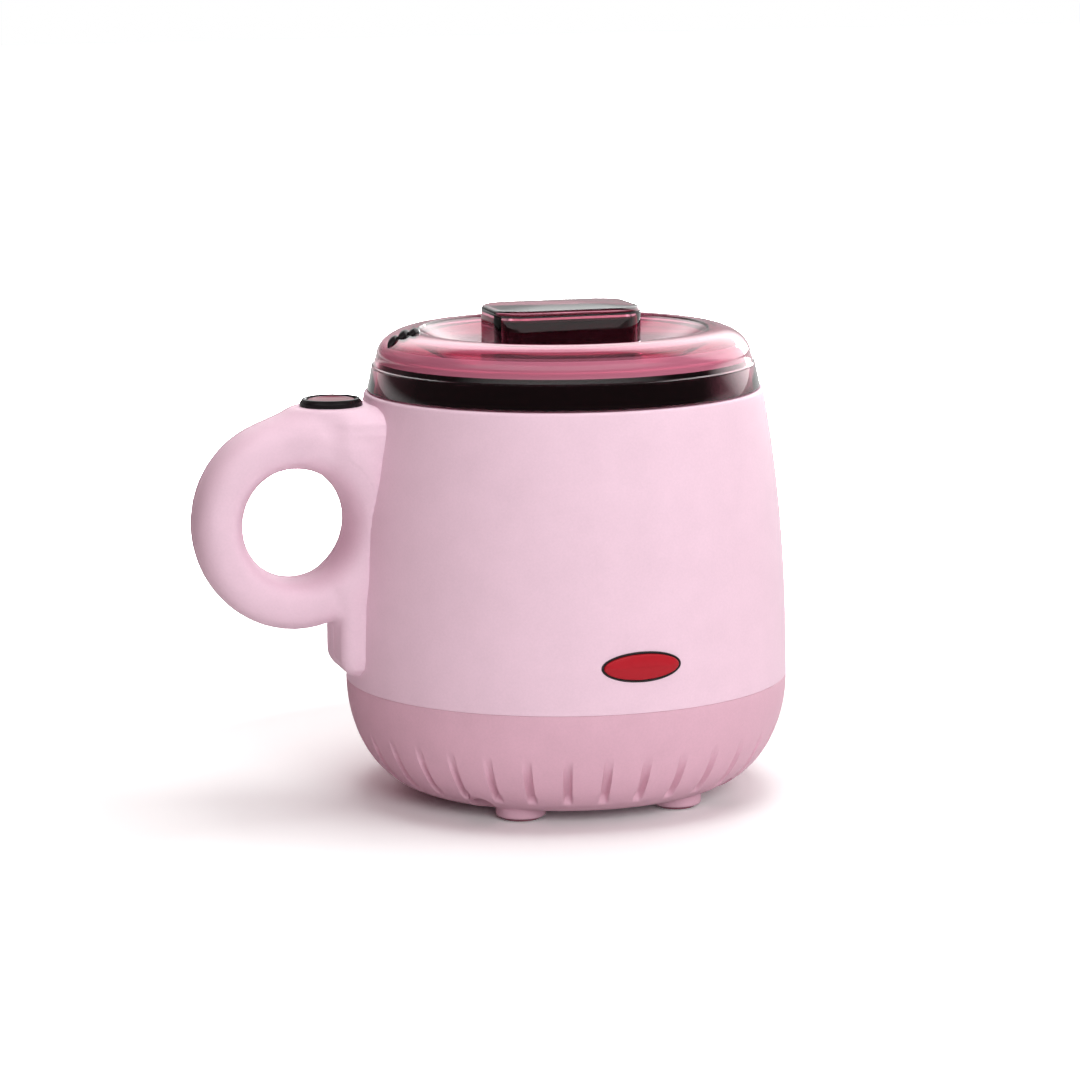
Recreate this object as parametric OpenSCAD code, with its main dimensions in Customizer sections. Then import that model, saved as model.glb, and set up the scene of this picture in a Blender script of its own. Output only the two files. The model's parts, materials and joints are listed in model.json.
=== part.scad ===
// Wax warmer pot: a mug-shaped electric heater with a lift-out pot, a clear lid and a ring handle.
// The origin is on the body's axis at table level, +Z is up, and the handle points along -X.

/* [Body] */
// Largest outside diameter of the body, at the seam
body_d = 140; // [139:0.5:141]
// Height of the seam between the shell and the base
seam_z = 38; // [37.5:0.1:38.5]
// Height of the shell's top face
shell_top_z = 129; // [128.8:0.1:129.2]
// How far the shell draws in from the seam to its top
shell_taper = 7.3; // [7:0.1:7.5]
// Thickness of the moulded walls
wall = 2.6; // [2.2:0.1:2.8]

/* [Base] */
// Height of the base's flat underside above the table
belly_z = 3.5; // [3.2:0.1:3.8]
// Radius of the flat underside
belly_r = 46; // [45:0.5:47]
// Number of vent grooves around the base
vent_count = 34; // [30:2:36]
// Width of one vent groove
vent_w = 2.4; // [2:0.1:2.6]
// Diameter of one foot
foot_d = 16; // [15:0.5:17]

/* [Handle] */
// Distance from the body's axis to the centre of the ring
handle_x = 88; // [87.5:0.1:88.5]
// Height of the centre of the ring
handle_z = 90; // [89.5:0.1:90.5]
// Radius of the ring's centre line
ring_r = 25; // [24.8:0.1:25.2]
// Thickness of the ring, across its radius
ring_t = 16; // [15.6:0.1:16.4]
// Depth of the ring, front to back
ring_depth = 24; // [23:0.5:25]
// Height of the platform that carries the button
deck_z = 126.6; // [126.4:0.1:126.8]

/* [Button and lamp] */
// Distance from the body's axis to the button's centre
button_x = 75; // [74.8:0.1:75.2]
// Travel of the power button
button_travel = 1.2; // [0.8:0.1:1.2]
// Width of the indicator lamp
lamp_w = 25.6; // [24:0.2:27]
// Height of the indicator lamp
lamp_h = 9.4; // [8.6:0.2:10]
// Height of the lamp's centre
lamp_z = 52.3; // [51:0.1:54]

/* [Pot and heater] */
// Inside radius of the wax pot at its mouth
pot_r = 49; // [48.5:0.1:49.2]
// Thickness of the pot's wall
pot_wall = 1.2; // [1:0.1:1.3]
// Inside radius of the heater well
well_r = 51.5; // [51.3:0.1:51.7]

/* [Lid] */
// Height of the dome's crest
crest_z = 148; // [147.5:0.1:148.5]
// Radius of the dish's rim
dish_rim_r = 45.2; // [44.5:0.1:45.6]
// Radius of the dish's floor
dish_floor_r = 27; // [26.6:0.1:27.2]
// Height of the dish's floor
dish_z = 137; // [136.8:0.1:137.2]
// Length of the knob
knob_l = 46; // [45:0.5:47]
// Width of the knob
knob_w = 33; // [32:0.5:34]
// Height of the knob's top
knob_top_z = 156; // [155:0.5:157]

/* [Hidden] */

$fn = 96;
body_r = body_d / 2;
seam_gap = 0.4;            // shadow line between shell and base
fit = 0.1;                 // play between fitted pieces of one body
cut = 0.5;                 // how far a cutting shape runs past a face
hole_play = 0.05;          // play of a screw in its hole

post_r = 52;               // screw posts, from the body's axis
post_angle = 45.5;
post_od = 9;
post_top_z = 48;
post_foot_z = 16.2;
screw_seat_z = 13.5;       // where a base screw's head bears
foot_r = 43.6;
foot_angle = 54.7;
foot_lift = 1;             // how far the rubber pads stand proud
board_z = 12;
board_t = 1.6;
standoff = [30, 18];
gland_z = 26;
gland_tilt = 14.5;         // the cord leaves square to the belly, a little downwards

opening_r = 54.2;          // hole in the shell's top
well_t = 1.5;
well_floor_z = 60;
well_flange_r = 57.2;
seal_t = 0.8;
well_flange_z = shell_top_z + seal_t;
flange_t = 1.2;
pot_play = 0.3;            // play between pieces that move apart
pot_flange_z = well_flange_z + flange_t + pot_play;
pot_floor_z = well_floor_z + 0.5;
rim_top_z = 139.9;
lid_foot_z = shell_top_z + 0.4;
lid_t = 2;
shield_z = post_top_z;
shield_t = 0.8;

ring_a = ring_t / 2;
ring_b = ring_depth / 2;
flange_proud = 4.6;        // how far the handle's saddle stands off the shell
screw_rows = [[7.5, 103], [7, 62]];   // y and z of the screws that hold the handle
duct_z = 110;
switch_floor_z = 113;
switch_board_t = 1.2;

lamp_angle = -86.8;
vent_x = 51;               // centre of the steam vent in the lid
vent_size = [9.6, 9.6];

pink = [0.93, 0.74, 0.80];
dusty_pink = [0.82, 0.62, 0.69];
black = [0.09, 0.08, 0.09];
magenta = [0.62, 0.16, 0.30, 0.6];
metal = [0.78, 0.79, 0.80];
zinc = [0.70, 0.71, 0.72];
board_green = [0.12, 0.42, 0.25];

// Outside radius of the shell at height z
function shell_r(z) =
  body_r - shell_taper * pow((z - seam_z) / (shell_top_z - seam_z), 2.3);
// Radius of the base's belly at height z, for a skin t inside the outer one
function belly(z, t) = belly_r + (body_r - t - belly_r)
  * sqrt(max(0, 1 - pow((seam_z - z) / (seam_z - belly_z - t), 2)));
// Points of an ellipse arc about [x, y] with half axes a and b
function arc(x, y, a, b, from, to, steps) =
  [for (i = [0:steps]) let (t = from + (to - from) * i / steps) [x + a * cos(t), y + b * sin(t)]];

function unit(v) = v / norm(v);
// One round of corner cutting, which keeps both ends
function rounded(p) = concat([p[0]],
  [for (i = [0:len(p) - 2]) each [p[i] * 0.75 + p[i + 1] * 0.25, p[i] * 0.25 + p[i + 1] * 0.75]],
  [p[len(p) - 1]]);
function heading(p, i) = unit(p[min(i + 1, len(p) - 1)] - p[max(i - 1, 0)]);
// A side vector carried along the path without twist
function carried(p, i) = i == 0
  ? unit(cross(heading(p, 0), [0.36, 0.48, 0.8]))
  : let (u = carried(p, i - 1), t = heading(p, i)) unit(u - (u * t) * t);

// Round wire of diameter d along a path
module wire(path, d, sides = 8) {
  p = path;
  n = len(p);
  rings = [for (i = [0:n - 1]) let (u = carried(p, i), v = cross(heading(p, i), u))
    each [for (k = [0:sides - 1])
      p[i] + d / 2 * (u * cos(360 * k / sides) + v * sin(360 * k / sides))]];
  walls = [for (i = [0:n - 2]) each [for (k = [0:sides - 1]) let (k2 = (k + 1) % sides)
    [i * sides + k, (i + 1) * sides + k, (i + 1) * sides + k2, i * sides + k2]]];
  ends = [[for (k = [0:sides - 1]) k], [for (k = [sides - 1:-1:0]) (n - 1) * sides + k]];
  polyhedron(points = rings, faces = concat(walls, ends), convexity = 4);
}

module at_angles(angles, r) {
  for (a = angles) rotate([0, 0, a]) translate([r, 0, 0]) children();
}
// The four corners at angle a either side of the handle's line
function corners(a) = [a, 180 - a, 180 + a, -a];
module at_posts() { at_angles(corners(post_angle), post_r) children(); }
module at_feet() { at_angles(corners(foot_angle), foot_r) children(); }
module at_standoffs() {
  for (x = [-1, 1], y = [-1, 1]) translate([x * standoff[0], y * standoff[1], 0]) children();
}

// Pan-head screw that points up from z = 0, with its head below
module pan_screw(shank_r, length, head_r, head_h) {
  cylinder(r = shank_r, h = length, $fn = 24);
  difference() {
    translate([0, 0, -head_h]) cylinder(r1 = head_r * 0.8, r2 = head_r, h = head_h, $fn = 32);
    for (a = [0, 90]) rotate([0, 0, a])
      translate([-head_r * 0.55, -0.35, -head_h - cut]) cube([head_r * 1.1, 0.7, cut + head_h * 0.4]);
  }
}

// ---- Body ----

module shell_outline() {
  heights = [for (i = [0:14]) seam_z + (shell_top_z - 1.2 - seam_z) * i / 14];
  outer = concat([[body_r - 0.3, seam_z + seam_gap / 2]],
    [for (i = [0:14]) [shell_r(heights[i]), max(heights[i], seam_z + seam_gap)]],
    [[shell_r(shell_top_z) - 0.1, shell_top_z - 0.4], [shell_r(shell_top_z) - 0.6, shell_top_z]]);
  inner = concat([[opening_r, shell_top_z], [opening_r, shell_top_z - wall]],
    [for (i = [13:-1:0]) [shell_r(heights[i]) - wall, max(heights[i], seam_z + seam_gap / 2)]]);
  polygon(concat(outer, inner));
}
// The shell's outer form as a solid, which the handle's saddle is cut by
module shell_form(grow) {
  steps = [for (i = [0:14]) seam_z + (shell_top_z - 1.2 - seam_z) * i / 14];
  rotate_extrude($fn = 180) polygon(concat([[0, seam_z]],
    [for (z = steps) [shell_r(z) + grow, z]],
    [[shell_r(shell_top_z) + grow - 0.1, shell_top_z], [0, shell_top_z]]));
}
// Elliptical bar of half axes a along the wall and b up it, from radius r0 to r1, on the lamp's line
module lamp_bar(a, b, r0, r1) {
  rotate([0, 0, lamp_angle]) translate([r0, 0, lamp_z]) rotate([0, 90, 0])
    linear_extrude(r1 - r0) polygon(arc(0, 0, b, a, 0, 352.5, 47));
}
module outer_shell() color(pink) difference() {
  union() {
    rotate_extrude($fn = 180) shell_outline();
    at_posts() {
      translate([0, 0, post_foot_z]) cylinder(d = post_od, h = post_top_z - post_foot_z, $fn = 40);
      translate([post_od / 2 - 1, -1.4, seam_z + 4]) cube([12.4, 2.8, 6]);
    }
  }
  at_posts() {
    translate([0, 0, post_foot_z - cut]) cylinder(r = 1.5 + hole_play, h = 16, $fn = 32);
    translate([0, 0, post_top_z - 8]) cylinder(r = 1.2 + hole_play, h = 8 + cut, $fn = 32);
  }
  lamp_bar(lamp_w / 2, lamp_h / 2, body_r - 8, body_r + 4);
  for (row = screw_rows, side = [-1, 1]) translate([0, side * row[0], row[1]])
    rotate([0, -90, 0]) cylinder(r = 1.7, h = body_r + 4, $fn = 32);
  translate([0, 0, duct_z]) rotate([0, -90, 0]) cylinder(r = 3, h = body_r + 4, $fn = 40);
}

// ---- Base ----

module base_outline() {
  lap_r = body_r - wall - fit;
  lap_in = lap_r - 1.9;
  low = [for (i = [0:15]) belly_z + (seam_z - seam_gap / 2 - belly_z) * pow(i / 15, 1.7)];
  bend = [for (i = [12:-1:0]) belly_z + wall + (24 - belly_z - wall) * pow(i / 12, 1.7)];
  polygon(concat([[0, belly_z]], [for (z = low) [belly(z, 0), z]],
    [[lap_r, seam_z - seam_gap / 2], [lap_r, seam_z + 3], [lap_in, seam_z + 3], [lap_in, 26]],
    [for (z = bend) [min(lap_in, belly(z, wall)), z]], [[0, belly_z + wall]]));
}
// The space inside the belly's outer skin, less a margin
module belly_form(margin) {
  low = [for (i = [0:10]) belly_z + margin + (seam_z - 1 - belly_z - margin) * pow(i / 10, 1.7)];
  rotate_extrude($fn = 180)
    polygon(concat([[0, belly_z + margin]], [for (z = low) [belly(z, margin), z]], [[0, seam_z - 1]]));
}
// Frame with its origin on the belly's skin and +Z square to it, pointing out
module on_gland() {
  translate([0, belly(gland_z, 0), gland_z]) rotate([-90 - gland_tilt, 0, 0]) children();
}
// Cutter for one groove: a chord across the curved belly, deepest near its lower end
module vent_groove() {
  top_z = 24.5;            // where the groove fades out
  low_z = 8.2;             // its lower end
  translate([0, vent_w / 2, 0]) rotate([90, 0, 0]) linear_extrude(vent_w)
    polygon([[belly(top_z, 0) + 0.1, top_z + 0.6], [belly(13, 0) - 2, 12.5],
      [belly(low_z, 0) - 0.9, low_z - 0.2], [body_r + 2, low_z - 3], [body_r + 2, top_z + 0.6]]);
}
module base_cup() color(dusty_pink) difference() {
  union() {
    rotate_extrude($fn = 180) base_outline();
    at_feet() translate([0, 0, foot_lift]) cylinder(d = foot_d, h = belly_z + 1.5 - foot_lift, $fn = 48);
    intersection() {
      belly_form(1);
      union() {
        at_posts() translate([0, 0, belly_z]) cylinder(r = 6.2, h = post_foot_z - fit * 2 - belly_z);
        on_gland() translate([0, 0, -3.6]) cylinder(r = 10, h = 4, $fn = 48);
      }
    }
    at_standoffs() translate([0, 0, belly_z + 1]) cylinder(r = 3, h = board_z - belly_z - 1, $fn = 32);
  }
  at_feet() translate([0, 0, foot_lift - cut]) cylinder(d = foot_d - 3.8, h = 1.1 + cut, $fn = 48);
  at_posts() {
    translate([0, 0, -cut]) cylinder(r = 4.1, h = screw_seat_z + cut, $fn = 40);
    cylinder(r = 1.7, h = post_foot_z + cut, $fn = 32);
  }
  at_standoffs() translate([0, 0, belly_z + wall + 1]) cylinder(r = 1.1 + hole_play, h = 20, $fn = 24);
  for (i = [0:vent_count - 1]) rotate([0, 0, 360 * i / vent_count]) vent_groove();
  on_gland() {
    translate([0, 0, -10]) cylinder(r = 5.6, h = 20, $fn = 48);
    translate([0, 0, -0.4]) cylinder(r = 7.6, h = 6, $fn = 48);
    translate([0, 0, -12]) cylinder(r = 8.2, h = 8.4, $fn = 48);
  }
}
module foot_pads() color(dusty_pink) at_feet() {
  cylinder(d1 = foot_d - 5, d2 = foot_d - 4, h = 0.5, $fn = 48);
  translate([0, 0, 0.5]) cylinder(d = foot_d - 4, h = foot_lift + 0.5, $fn = 48);
}
module base_screws() color(zinc) at_posts() translate([0, 0, screw_seat_z]) pan_screw(1.5, 15, 3.2, 2.2);
module cord_gland() color(black) on_gland() rotate_extrude($fn = 72) polygon([[3.6, -5.2],
  [6.6, -5.2], [7.4, -4.4], [7.4, -3.6], [5.5, -3.6], [5.5, -0.4], [7.2, -0.4], [7.2, 0.8],
  [6.4, 1.6], [3.6, 1.6]]);

// ---- Handle ----

// Half of the ring, hollow away from the body
module half_ring() {
  translate([-handle_x, 0, handle_z]) rotate([90, 0, 0]) difference() {
    rotate_extrude($fn = 120) polygon(arc(ring_r, 0, ring_a, ring_b, 0, 180, 18));
    rotate([0, 0, 75]) rotate_extrude(angle = 210, $fn = 96)
      polygon(arc(ring_r, 0, ring_a - 2.4, ring_b - 2.4, 0, 180, 14));
  }
}
// Half of the web between the ring and the body, with the deck's side and the tail
module half_web() {
  rotate([90, 0, 0]) linear_extrude(ring_b) polygon(concat(
    [[-58, deck_z - 1], [-86.5, deck_z], [-88, deck_z - 1.2], [-90, deck_z - 2.8],
      [-93.2, handle_z + ring_r + ring_a - 0.6], [-91, handle_z + ring_r + 1]],
    arc(-handle_x, handle_z, ring_r - 0.4, ring_r - 0.4, 82, -62, 16),
    [[-78.5, 59.2], [-76.4, 58.6], [-74.9, 57.4], [-74.1, 55.4], [-73.9, 51.5], [-72.9, 47.6],
      [-71.2, 44.8], [-69.2, 43], [-66, 42.4], [-58, 42.4]]));
}
// Half of the room that the ring's flared hole leaves free
module half_ring_hole() {
  translate([-handle_x, 0, handle_z]) rotate([90, 0, 0]) rotate_extrude($fn = 96)
    polygon(concat([[0, -cut]], [[ring_r - ring_a + 0.4, -cut]],
      arc(ring_r, 0, ring_a - 0.4, ring_b - 0.4, 180, 100, 10), [[ring_r - 1.3, 40], [0, 40]]));
}
// Half of the saddle that hugs the shell, flared below the deck
module half_saddle() {
  outline = [[0, 127], [10.5, 126.4], [14, 124.2], [16.8, 121], [18, 117], [17.4, 111], [15.4, 103],
    [13, 95], [12, 88], [12, 47], [11, 44], [8.6, 42.4], [0, 42.4]];
  difference() {
    intersection() {
      translate([-50, 0, 0]) rotate([90, 0, -90]) linear_extrude(30) polygon(outline);
      shell_form(flange_proud);
    }
    half_ring_hole();
  }
}
// Half of the round block under the button
module half_deck() {
  translate([-button_x, 0, 111]) cylinder(r = 12.8, h = deck_z - 111);
  translate([-button_x, -14.5, 113]) intersection() {
    cube([17, 14.5, deck_z - 113]);
    linear_extrude(20) polygon([[0, 1.7], [17, -1], [17, 14.5], [0, 14.5]]);
  }
}
// One moulded half of the handle, on the front side
module handle_half() {
  difference() {
    intersection() {
      union() {
        half_ring();
        half_web();
        half_saddle();
        half_deck();
      }
      translate([-130, -30, 30]) cube([90, 30 - fit / 2, deck_z - 30]);
    }
    shell_form(hole_play);
    translate([-button_x, 0, switch_floor_z]) cylinder(r = 9.1, h = 20);
    translate([-button_x, 0, duct_z - 3]) cylinder(r = 6, h = 20, $fn = 60);
    translate([-button_x, 0, duct_z]) rotate([0, 90, 0]) cylinder(r = 3, h = 30, $fn = 40);
    for (row = screw_rows) translate([-72, -row[0], row[1]])
      rotate([0, 90, 0]) cylinder(r = 1.5 + hole_play, h = 20, $fn = 32);
  }
}
module handle_front() color(pink) handle_half();
module handle_rear() color(pink) mirror([0, 1, 0]) handle_half();
module handle_screws() color(zinc) for (row = screw_rows, side = [-1, 1]) {
  seat_x = sqrt(pow(shell_r(row[1]) - wall, 2) - pow(row[0] + 2.6, 2)) - 0.1;
  translate([-seat_x, side * row[0], row[1]]) rotate([0, -90, 0]) pan_screw(1.5, 71.5 - seat_x, 2.6, 1.9);
}

// ---- Power button ----

module on_button() { translate([-button_x, 0, 0]) children(); }
module button_bezel() color(black) on_button() rotate_extrude() polygon([[8, deck_z + 1.7],
  [8.5, deck_z + 2], [9.2, deck_z + 1.7], [9.7, deck_z + 0.9], [9.85, deck_z], [9, deck_z],
  [9, deck_z - 7.6], [8.7, deck_z - 7.6], [8.7, deck_z - 0.6], [8, deck_z - 0.6]]);
module power_button() color(magenta) on_button() rotate_extrude() polygon([[0, deck_z + 1.9],
  [3, deck_z + 1.85], [5.5, deck_z + 1.7], [7.2, deck_z + 1.3], [7.75, deck_z + 0.8],
  [7.75, deck_z - 2.1], [8.4, deck_z - 2.1], [8.4, deck_z - 3.4], [7, deck_z - 3.4],
  [7, deck_z - 0.2], [1.6, deck_z - 0.2], [1.6, deck_z - 7], [0, deck_z - 7]]);
module button_spring() color(metal) on_button() {
  turns = 5;
  steps = 14;
  low = switch_floor_z + switch_board_t + 0.5;
  rise = deck_z - 0.65 - low;
  wire([for (i = [0:turns * steps]) let (t = i / (turns * steps), a = 360 * turns * t)
    [5.2 * cos(a), 5.2 * sin(a), low + rise * t]], 0.7, 6);
}
module button_switch() color([0.15, 0.15, 0.16]) on_button() {
  top = switch_floor_z + switch_board_t;
  translate([-3, -3, top]) cube([6, 6, 3.4]);
  translate([0, 0, top + 3.4]) cylinder(r = 1.5, h = deck_z - 7 - button_travel - 0.1 - top - 3.4, $fn = 32);
}
module switch_board() color(board_green) on_button()
  translate([-6, -6, switch_floor_z]) cube([12, 12, switch_board_t]);

// ---- Indicator lamp ----

// One step of the lens, cut to the curve of a body of radius r
module lens_step(inset, r) intersection() {
  lamp_bar(lamp_w / 2 - inset, lamp_h / 2 - inset, body_r - 4.1, body_r + 2);
  translate([0, 0, lamp_z - 10]) cylinder(r = r, h = 20, $fn = 180);
}
module indicator_lens() color([0.72, 0.12, 0.16]) {
  lens_step(0.75, body_r + 0.2);
  lens_step(1.3, body_r + 0.6);
  lamp_bar(lamp_w / 2 + 1, lamp_h / 2 + 1, body_r - 5.2, body_r - 4.25);
  lamp_bar(lamp_w / 2 - 1.3, lamp_h / 2 - 1.3, body_r - 5, body_r - 3);
}
module lamp_seal() color(black) intersection() {
  difference() {
    lamp_bar(lamp_w / 2 - 0.02, lamp_h / 2 - 0.02, body_r - 3.6, body_r + 2);
    lamp_bar(lamp_w / 2 - 0.7, lamp_h / 2 - 0.7, body_r - 6, body_r + 3);
  }
  translate([0, 0, lamp_z - 10]) cylinder(r = body_r + 0.15, h = 20, $fn = 180);
}
module indicator_led() color([0.85, 0.25, 0.22]) rotate([0, 0, lamp_angle]) translate([0, 0, lamp_z])
  rotate([0, 90, 0]) rotate_extrude($fn = 40) polygon(concat([[0, body_r - 12], [2.9, body_r - 12],
    [2.9, body_r - 11], [2.45, body_r - 11]], arc(0, body_r - 8, 2.45, 2.45, 0, 90, 8)));
module lamp_holder() color([0.86, 0.85, 0.83]) rotate([0, 0, lamp_angle]) translate([0, 0, lamp_z])
  difference() {
    union() {
      rotate([0, 90, 0]) translate([0, 0, body_r - 10.8]) cylinder(r = 4.4, h = 5, $fn = 48);
      translate([body_r - 7.4, -10.5, -9.4]) cube([1.6, 21, 18.8]);
      for (y = [-8, 8], z = [-7.6, 7.6]) translate([body_r - 6, y, z]) rotate([0, 90, 0])
        cylinder(r = 1.4, h = 2.4, $fn = 32);
    }
    rotate([0, 90, 0]) translate([0, 0, body_r - 12]) cylinder(r = 2.55, h = 10, $fn = 40);
  }

// ---- Heater ----

module heater_well() color(metal) rotate_extrude($fn = 144) polygon([
  [0, well_floor_z - well_t], [well_r - 6, well_floor_z - well_t], [well_r - 1.6, well_floor_z + 0.6],
  [well_r + well_t - 1, well_floor_z + 4], [well_r + well_t, well_flange_z - 3],
  [well_r + well_t, well_flange_z], [well_flange_r, well_flange_z],
  [well_flange_r, well_flange_z + flange_t], [well_r + 0.4, well_flange_z + flange_t],
  [well_r, well_flange_z + flange_t - 0.6], [well_r, well_flange_z - 3],
  [well_r - 1, well_floor_z + 4.6], [well_r - 2.6, well_floor_z + 1.4], [well_r - 6.6, well_floor_z],
  [0, well_floor_z]]);
module ring_band(r0, r1, z0, z1, open) {
  rotate([0, 0, 90 + open / 2]) rotate_extrude(angle = 360 - open, $fn = 144)
    polygon([[r0, z0], [r1, z0], [r1, z1], [r0, z1]]);
}
module well_seal() color([0.30, 0.30, 0.31]) ring_band(opening_r + 0.4, well_flange_r, shell_top_z,
  well_flange_z, 0);
module heater_band() color([0.62, 0.60, 0.55]) {
  ring_band(well_r + well_t + 0.05, well_r + well_t + 2, 66, 96, 16);
  for (side = [-1, 1]) rotate([0, 0, 90 + side * 12]) translate([well_r + well_t + 1.5, 0, 90])
    rotate([0, 90, 0]) cylinder(r = 1.4, h = 4, $fn = 24);
}
module band_clamp() color(zinc) {
  r = well_r + well_t + 2.05;
  ring_band(r, r + 0.6, 74, 82, 14);
  difference() {
    for (side = [-1, 1]) rotate([0, 0, 90 + side * 6.6]) translate([r, -0.5, 74]) cube([7, 1, 8]);
    translate([-20, r + 4, 78]) rotate([0, 90, 0]) cylinder(r = 1.5 + hole_play, h = 40, $fn = 24);
  }
}
module clamp_screw() color(zinc) translate([-8.4, well_r + well_t + 6.05, 78]) rotate([0, 90, 0])
  pan_screw(1.5, 18, 2.4, 1.6);
module insulation_sleeve() color([0.90, 0.88, 0.80]) ring_band(55.75, 59, 62, 120, 34);
module thermostat() color([0.20, 0.19, 0.18]) translate([22, 0, 0]) {
  translate([0, 0, well_floor_z - well_t - 5]) cylinder(r = 8.5, h = 5, $fn = 60);
  for (side = [-1, 1]) translate([side * 3 - 0.4, -3, well_floor_z - well_t - 9]) cube([0.8, 6, 4]);
}
module thermostat_clip() color(zinc) translate([22, 0, 0]) {
  plate_z = well_floor_z - well_t - 5.8;
  difference() {
    translate([-4, -14, plate_z]) cube([8, 28, 0.75]);
    translate([-5, -3.4, plate_z - cut]) cube([10, 6.8, 2]);
  }
  for (side = [-1, 1]) translate([-4, side * 13.6 - 0.4, plate_z]) cube([8, 0.8, 5.8]);
}
module thermal_fuse() color([0.75, 0.70, 0.60]) translate([-22, -8, well_floor_z - well_t - 2.2])
  rotate([-90, 0, 0]) {
    cylinder(r = 2.1, h = 16, $fn = 32);
    translate([0, 0, -4]) cylinder(r = 0.5, h = 24, $fn = 16);
  }
// Strap bent from sheet that holds the fuse against the underside of the well
module fuse_clip() color(zinc) translate([-22, 0, well_floor_z - well_t - 2.2]) rotate([90, 0, 0])
  linear_extrude(5, center = true) polygon([[-6, 2.15], [-6, 1.65], [-2.7, 1.65], [-2.7, -2.7],
    [2.7, -2.7], [2.7, 1.65], [6, 1.65], [6, 2.15], [2.2, 2.15], [2.2, -2.2], [-2.2, -2.2],
    [-2.2, 2.15]]);
module well_stud() color(zinc) translate([0, 0, shield_z - 5])
  cylinder(r = 2, h = well_floor_z - well_t - shield_z + 5, $fn = 32);
module stud_nut() color(zinc) translate([0, 0, shield_z - 3.2]) difference() {
  cylinder(r = 4.04, h = 3.2, $fn = 6);
  translate([0, 0, -cut]) cylinder(r = 2 + hole_play, h = 5, $fn = 32);
}
module heat_shield() color(metal) difference() {
  translate([0, 0, shield_z]) cylinder(r = 56.5, h = shield_t, $fn = 144);
  translate([0, 0, shield_z - cut]) cylinder(r = 2.2, h = 3, $fn = 32);
  at_posts() translate([0, 0, shield_z - cut]) cylinder(r = 1.5, h = 3, $fn = 24);
  translate([36, 0, shield_z - cut]) cylinder(r = 4, h = 3, $fn = 32);
  translate([3.2, -56, shield_z - cut]) cylinder(r = 3, h = 3, $fn = 32);
}
module shield_screws() color(zinc) at_posts() translate([0, 0, shield_z + shield_t])
  mirror([0, 0, 1]) pan_screw(1.2, 7, 2.3, 1.6);

// ---- Control board ----

board_top = board_z + board_t;
module control_board() color(board_green) difference() {
  translate([-34, -22, board_z]) cube([68, 44, board_t]);
  at_standoffs() translate([0, 0, board_z - cut]) cylinder(r = 1.4, h = 3, $fn = 24);
}
module board_screws() color(zinc) at_standoffs() translate([0, 0, board_top]) mirror([0, 0, 1])
  pan_screw(1.1, 5.4, 2.3, 1.6);
module power_relay() color([0.10, 0.24, 0.55]) translate([-24, -6, board_top]) cube([18, 15, 15]);
module terminal_block() color([0.20, 0.50, 0.32]) translate([-6, 9.5, board_top]) difference() {
  cube([26, 9, 10]);
  for (i = [0:3]) translate([3.4 + 6.4 * i, 4.5, 6]) cylinder(r = 2, h = 5, $fn = 24);
}
module filter_capacitor() color([0.75, 0.66, 0.20]) translate([2, -16, board_top]) cube([17, 8, 13]);
module control_chip() color([0.12, 0.12, 0.13]) translate([2, -4, board_top]) cube([10, 7, 1.8]);

// ---- Wiring ----

lead_d = 2;
module lead(points) { wire(rounded(rounded(points)), lead_d); }
module heater_leads() color([0.85, 0.84, 0.80]) for (side = [-1, 1]) lead([
  [7 + side * 3, 14, board_top + 10.3], [7 + side * 3, 14.5, 30], [4 + side * 7, 42, 34],
  [side * 12, 60.4, 44], [side * 12, 60.6, 66], [side * 12.2, 60.2, 84], [side * 12.2, 58.2, 90]]);
module switch_lead() color([0.25, 0.25, 0.27]) lead([[-4, 14, board_top + 10.3], [-5, 14, 29], [-14, 16, 33],
  [-44, 8, 36], [-61, 3, 44], [-62.3, 0, 62], [-61.9, 0, 98], [-61.6, 0, 106], [-64.6, 0, duct_z],
  [-70, 0, duct_z], [-74.6, 0, duct_z], [-75, 0, duct_z + 1], [-75, 0, switch_floor_z - 0.1]]);
module lamp_lead() color([0.70, 0.16, 0.14]) lead([[15, -5, board_top + 0.1], [15, -5.5, 30],
  [9, -30, 36], [5, -50, 39], [3.2, -55.6, 43], [3.2, -55.6, lamp_z - 1.4], [3.2, -56.2, lamp_z],
  [3.2, -57.85, lamp_z]]);
module thermostat_leads() color([0.85, 0.84, 0.80]) lead([[16.3, 14, board_top + 10.3], [16.6, 14.2, 29],
  [32, 8, 36], [36, 0, 42], [36, 0, shield_z + 1.5], [32, 0, 52], [25.9, 0, 52.2]]);

// ---- Pot ----

module wax_pot() color(metal) rotate_extrude($fn = 144) {
  floor_r = pot_r - 7;
  polygon([[0, pot_floor_z], [floor_r, pot_floor_z], [floor_r + 3.4, pot_floor_z + 1.2],
    [pot_r - 2 + pot_wall, pot_floor_z + 5.4], [pot_r + pot_wall, pot_flange_z],
    [54.6, pot_flange_z], [54.6, pot_flange_z + flange_t], [pot_r + pot_wall, pot_flange_z + flange_t],
    [pot_r + pot_wall, rim_top_z - 0.5], [pot_r + 0.6, rim_top_z], [pot_r, rim_top_z - 0.5],
    [pot_r, pot_flange_z], [pot_r - 2, pot_floor_z + 5.6], [floor_r + 2.8, pot_floor_z + 2.2],
    [floor_r - 0.4, pot_floor_z + pot_wall], [0, pot_floor_z + pot_wall]]);
}
module at_rivets() { at_angles([0, 90, 180, 270], 52.5) children(); }
module pot_rim() color(black) difference() {
  rotate_extrude($fn = 180) polygon([[59.2, lid_foot_z], [57.2, 137.7], [56.9, 138.4],
    [55.6, rim_top_z], [52, rim_top_z], [pot_r + pot_wall + fit, rim_top_z - 0.5],
    [pot_r + pot_wall + fit, pot_flange_z + flange_t], [57.8, pot_flange_z + flange_t],
    [57.8, lid_foot_z]]);
  at_rivets() translate([0, 0, pot_flange_z]) cylinder(r = 1.2 + hole_play, h = 5, $fn = 24);
}
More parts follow.
